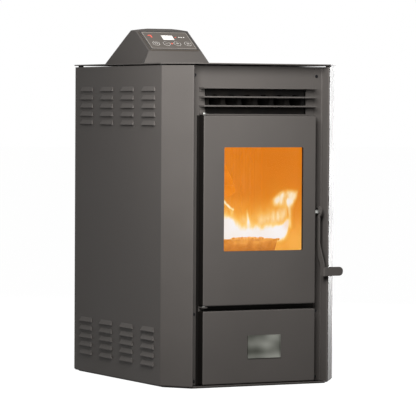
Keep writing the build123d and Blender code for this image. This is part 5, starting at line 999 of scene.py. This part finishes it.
def build_rope():
    """Knitted rope in the door's channel: a closed loop with crossing strands on its surface."""
    low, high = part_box("door_rope_gasket")
    radius = (high[1] - low[1]) / 2
    y = (low[1] + high[1]) / 2
    x0, x1 = low[0] + radius, high[0] - radius
    z0, z1 = low[2] + radius, high[2] - radius
    corner = ROPE_CORNER * MM
    path = []
    for cx, cz, turn in ((x1, z1, 0), (x0, z1, 90), (x0, z0, 180), (x1, z0, 270)):
        ox = cx - corner if cx > 0 else cx + corner
        oz = cz - corner if cz > (z0 + z1) / 2 else cz + corner
        for i in range(ROPE_CORNER_POINTS):
            a = math.radians(turn + 90 * i / (ROPE_CORNER_POINTS - 1))
            path.append(Vector((ox + corner * math.cos(a), y, oz + corner * math.sin(a))))
    line = []
    for a, b in zip(path, path[1:] + path[:1]):
        count = max(1, round((b - a).length / (ROPE_STEP * MM)))
        line += [a.lerp(b, i / count) for i in range(count)]
    mesh = bmesh.new()
    rings = []
    along = 0.0
    for k, point in enumerate(line):
        after = line[(k + 1) % len(line)]
        side = (after - line[k - 1]).normalized().cross(Vector((0, 1, 0))).normalized()
        ring = []
        for i in range(ROPE_SIDES):
            a = 2 * math.pi * i / ROPE_SIDES
            weave = max(math.sin(ROPE_STRANDS * a + along), math.sin(ROPE_STRANDS * a - along))
            r = radius * (ROPE_CORE + ROPE_STRAND * weave)
            back = Vector((0, r * math.sin(a), 0))
            ring.append(mesh.verts.new(point + side * r * math.cos(a) + back))
        rings.append(ring)
        along += (after - point).length / (ROPE_LAY * MM)
    rings.append(rings[0])
    grid_faces(mesh, rings, closed=True)
    shape = piece("door_rope", "door", finish("fibre_rope"))
    pour(shape, mesh)
    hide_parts("door_rope_gasket")


# ---------------------------------------------------------------- settings
COLOUR = {"subtype": "COLOR", "size": 3, "min": 0.0, "max": 1.0}
SHARE = {"subtype": "FACTOR", "min": 0.0, "max": 1.0}


class StoveFinish(bpy.types.PropertyGroup):
    """Settings of the cabinet's paint"""

    paint: FloatVectorProperty(
        name="Paint",
        description="Powder coat of the cabinet, linear colour",
        default=linear("#5b5754")[:3],
        **COLOUR,
    )
    paint_roughness: FloatProperty(
        name="Paint roughness",
        description="Satin of the powder coat, 0 shiny to 1 matte",
        default=0.56,
        **SHARE,
    )
    paint_shine: FloatProperty(
        name="Paint shine",
        description="Strength of the reflection on the powder coat",
        default=0.1,
        **SHARE,
    )


class StoveFire(bpy.types.PropertyGroup):
    """Settings of the fire and its light"""

    foot: FloatProperty(
        name="Fire foot",
        description="Height at which the walls glow yellowest",
        unit="LENGTH",
        default=0.4,
    )
    top: FloatProperty(
        name="Fire top",
        description="Height at which the glow is deepest",
        unit="LENGTH",
        default=0.62,
    )
    glow: FloatProperty(
        name="Glow", description="Firelight on the firebox walls", min=0.0, default=1.0
    )
    # the pot's glow is painted firelight on its iron
    pot: FloatProperty(name="Pot", description="Glow of the hot pot", min=0.0, default=1.0)
    flame: FloatProperty(
        name="Flame", description="Brightness of the flames", min=0.0, default=1.05
    )
    lamp: FloatProperty(
        name="Fire lamp", description="Light inside the firebox", unit="POWER", default=0.6
    )


class StoveKeypad(bpy.types.PropertyGroup):
    """Settings of the keypad's film and print"""

    film: FloatVectorProperty(
        name="Film",
        description="Keypad overlay, linear colour",
        default=linear("#575049")[:3],
        **COLOUR,
    )
    border: StringProperty(
        name="Border", description="Hex colour of the printed border", default="#a8a19a"
    )
    # the edge line's colour is a painted shadow of the gap round the raised keypad plate
    rim: StringProperty(
        name="Rim", description="Hex colour of the film's edge line", default="#12100f"
    )
    line: FloatProperty(
        name="Line", description="Width of the printed lines in mm", min=0.1, default=1.0
    )


class StoveStudio(bpy.types.PropertyGroup):
    """Settings of the studio's light and floor"""

    key: FloatProperty(
        name="Key light", description="Soft light above the front left", unit="POWER", default=28.0
    )
    edge: FloatProperty(
        name="Edge light", description="Soft light behind the right", unit="POWER", default=160.0
    )
    world: FloatProperty(name="Sky", description="Even light from all round", min=0.0, default=0.1)
    floor: FloatVectorProperty(
        name="Floor",
        description="Floor colour as it lights the stove",
        default=(0.12, 0.12, 0.12),
        **COLOUR,
    )


# ---------------------------------------------------------------- studio
FLOOR_HALF = 45.0  # m from its middle to an edge
FLOOR_PARTS = 8  # squares along a side
PAPER_WHITE = 0.98  # brightness of the paper to the eye

# Where each soft light stands, where it points and its width and height, in m
KEY_LIGHT = ((-0.68, -1.15, 1.2), (0, -0.25, 0.85), (0.7, 0.7))
EDGE_LIGHT = ((2.6, 1.9, 0.3), (0.25, -0.25, 0.3), (0.9, 2.2))


def look_matrix(place, yaw, pitch, roll):
    """Camera matrix from a place and the three angles."""
    flat = math.cos(pitch)
    forward = Vector((math.sin(yaw) * flat, math.cos(yaw) * flat, -math.sin(pitch)))
    level = Vector((math.cos(yaw), -math.sin(yaw), 0))
    above = level.cross(forward)
    right = level * math.cos(roll) + above * math.sin(roll)
    up = -level * math.sin(roll) + above * math.cos(roll)
    turn = Matrix((right, up, -forward)).transposed().to_4x4()
    return Matrix.Translation(Vector(place)) @ turn


def soft_box(name, place, aim, size, power):
    """White soft light with a flat face, never seen by the camera."""
    lamp = bpy.data.lights.new(name, "AREA")
    lamp.shape = "RECTANGLE"
    lamp.size, lamp.size_y = size
    lamp.energy = power
    holder = bpy.data.objects.new(name, lamp)
    holder.visible_camera = False
    turn = (Vector(aim) - Vector(place)).to_track_quat("-Z", "Y").to_matrix().to_4x4()
    holder.matrix_world = Matrix.Translation(Vector(place)) @ turn
    bpy.context.scene.collection.objects.link(holder)


def seen_rays(tree):
    """1 for the rays that see the surroundings, straight, mirrored or through glass."""
    rays = add(tree, "ShaderNodeLightPath")
    seen = rays["Is Camera Ray"]
    for name in ("Is Glossy Ray", "Is Transmission Ray"):
        seen = add(tree, "ShaderNodeMath", {0: seen, 1: rays[name]}, operation="MAXIMUM")[0]
    return seen


def paper_floor():
    """Matte studio paper: white to the eye, dull as a light source, with the stove's shadow.
    Its tooth is too fine to show and drawn at 6 mm."""
    material, tree, _, tooth = start("studio_paper", (6, 2))
    skin = {"Height": tooth, "Distance": 0.1 * MM, "Strength": 0.2}
    normal = add(tree, "ShaderNodeBump", skin)["Normal"]
    colour = bpy.context.scene.stove_studio.floor[:] + (1.0,)
    paper = add(tree, "ShaderNodeBsdfDiffuse", {"Color": colour, "Normal": normal})[0]
    seen = {0: seen_rays(tree), 1: PAPER_WHITE}
    shown = add(tree, "ShaderNodeMath", seen, operation="MULTIPLY")[0]
    white = add(tree, "ShaderNodeEmission", {"Strength": shown})[0]
    both = add(tree, "ShaderNodeAddShader", {0: paper, 1: white})[0]
    add(tree, "ShaderNodeOutputMaterial", {"Surface": both})
    return material


def build_floor():
    """Wide level sheet of paper under the stove, which meets the white surroundings far away."""
    mesh = bmesh.new()
    steps = [FLOOR_HALF * (2 * i / FLOOR_PARTS - 1) for i in range(FLOOR_PARTS + 1)]
    rows = [[mesh.verts.new((x, y, 0.0)) for y in steps] for x in steps]
    grid_faces(mesh, rows)
    sheet = bpy.data.objects.new("studio_floor", bpy.data.meshes.new("studio_floor"))
    bpy.context.scene.collection.objects.link(sheet)
    sheet.data.materials.append(paper_floor())
    pour(sheet, mesh)


def build_sky():
    """Even white surroundings that light less than they show."""
    world = bpy.data.worlds.new("studio")
    world.use_nodes = True
    tree = world.node_tree
    tree.nodes.clear()
    span = {"Value": seen_rays(tree), "To Min": bpy.context.scene.stove_studio.world}
    strength = add(tree, "ShaderNodeMapRange", span)["Result"]
    sky = add(tree, "ShaderNodeBackground", {"Color": (1, 1, 1, 1), "Strength": strength})[0]
    add(tree, "ShaderNodeOutputWorld", {"Surface": sky})
    bpy.context.scene.world = world


def build_camera():
    """The photograph's camera."""
    camera = bpy.data.cameras.new("camera")
    camera.sensor_width = SENSOR_MM
    camera.lens = LENS_MM
    camera.clip_end = CAMERA_REACH
    holder = bpy.data.objects.new("camera", camera)
    holder.matrix_world = look_matrix(CAMERA_PLACE, CAMERA_YAW, CAMERA_PITCH, CAMERA_ROLL)
    bpy.context.scene.collection.objects.link(holder)
    bpy.context.scene.camera = holder


# ---------------------------------------------------------------- operators
class StoveOperator:
    """What the stove's operators share"""

    bl_options = {"REGISTER", "UNDO"}


class STOVE_OT_finishes(StoveOperator, bpy.types.Operator):
    """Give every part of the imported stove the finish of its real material"""

    bl_idname = "stove.finishes"
    bl_label = "Apply finishes"

    def execute(self, context):
        coated = 1.5 * MM  # the paint wraps this far round a front's edges
        # the burn pot gets painted firelight as emission
        special = {"burn_pot": cast_iron(hot=True), "panel_screws": black_zinc()}
        # Painted shade: the face frame below the door's top, and the faces of the door and ash
        # drawer behind their fronts, are painted black for the shadow of the recess and of the
        # folded edges
        special["face_frame"] = powder_coat(("Z", "LESS_THAN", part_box("door_frame")[1][2]))
        for node in ("door_frame", "ash_drawer_front"):
            special[node] = powder_coat(("Y", "GREATER_THAN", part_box(node)[0][1] + coated))
        for node in ("firebox", "fire_back", "feed_chute", "flame_baffle"):
            special[node] = FINISHES[SLOT_OF[node]](firelit=True)
        for node, shape in NODES.items():
            material = special.get(node) or finish(SLOT_OF[node])
            if not shape.material_slots:
                raise RuntimeError("no material slot on " + node)
            for slot in shape.material_slots:
                slot.link = "OBJECT"
                slot.material = material
        return {"FINISHED"}


class STOVE_OT_fire(StoveOperator, bpy.types.Operator):
    """Light the fire: flames, burning pellets and their light"""

    bl_idname = "stove.fire"
    bl_label = "Light the fire"

    def execute(self, context):
        build_flames()
        build_embers()
        build_fire_light()
        return {"FINISHED"}


class STOVE_OT_keypad(StoveOperator, bpy.types.Operator):
    """Print the keypad: outlines and plain signs on the keys, indicators and border"""

    bl_idname = "stove.keypad"
    bl_label = "Print the keypad"

    def execute(self, context):
        build_key_print()
        build_lamps()
        build_borders()
        return {"FINISHED"}


class STOVE_OT_rope(StoveOperator, bpy.types.Operator):
    """Lay the knitted rope in the door's channel"""

    bl_idname = "stove.rope"
    bl_label = "Lay the door rope"

    def execute(self, context):
        build_rope()
        return {"FINISHED"}


class STOVE_OT_studio(StoveOperator, bpy.types.Operator):
    """Set the paper floor, soft lights and the photograph's camera"""

    bl_idname = "stove.studio"
    bl_label = "Set the studio"

    def execute(self, context):
        look = context.scene.stove_studio
        build_floor()
        build_sky()
        soft_box("key_light", *KEY_LIGHT, look.key)
        soft_box("edge_light", *EDGE_LIGHT, look.edge)
        build_camera()
        context.scene.view_settings.view_transform = "Standard"
        return {"FINISHED"}


class STOVE_PT_panel(bpy.types.Panel):
    """Steps and settings of the stove's looks"""

    bl_label = "Pellet stove"
    bl_idname = "STOVE_PT_panel"
    bl_space_type = "VIEW_3D"
    bl_region_type = "UI"
    bl_category = "Stove"

    def draw(self, context):
        for operator in OPERATORS:
            self.layout.operator(operator.bl_idname)
        for group, _ in GROUPS:
            box = self.layout.box()
            settings = getattr(context.scene, group)
            for name in settings.__annotations__:
                box.prop(settings, name)


GROUPS = (
    ("stove_finish", StoveFinish),
    ("stove_fire", StoveFire),
    ("stove_keypad", StoveKeypad),
    ("stove_studio", StoveStudio),
)
OPERATORS = (STOVE_OT_finishes, STOVE_OT_fire, STOVE_OT_keypad, STOVE_OT_rope, STOVE_OT_studio)


def register():
    for name, group in GROUPS:
        bpy.utils.register_class(group)
        setattr(bpy.types.Scene, name, PointerProperty(type=group))
    for operator in OPERATORS:
        bpy.utils.register_class(operator)
    bpy.utils.register_class(STOVE_PT_panel)


def unregister():
    bpy.utils.unregister_class(STOVE_PT_panel)
    for operator in reversed(OPERATORS):
        bpy.utils.unregister_class(operator)
    for name, group in reversed(GROUPS):
        delattr(bpy.types.Scene, name)
        bpy.utils.unregister_class(group)


def main():
    register()
    bpy.ops.stove.finishes()
    bpy.ops.stove.fire()
    bpy.ops.stove.keypad()
    bpy.ops.stove.rope()
    bpy.ops.stove.studio()


if __name__ == "__main__":
    main()
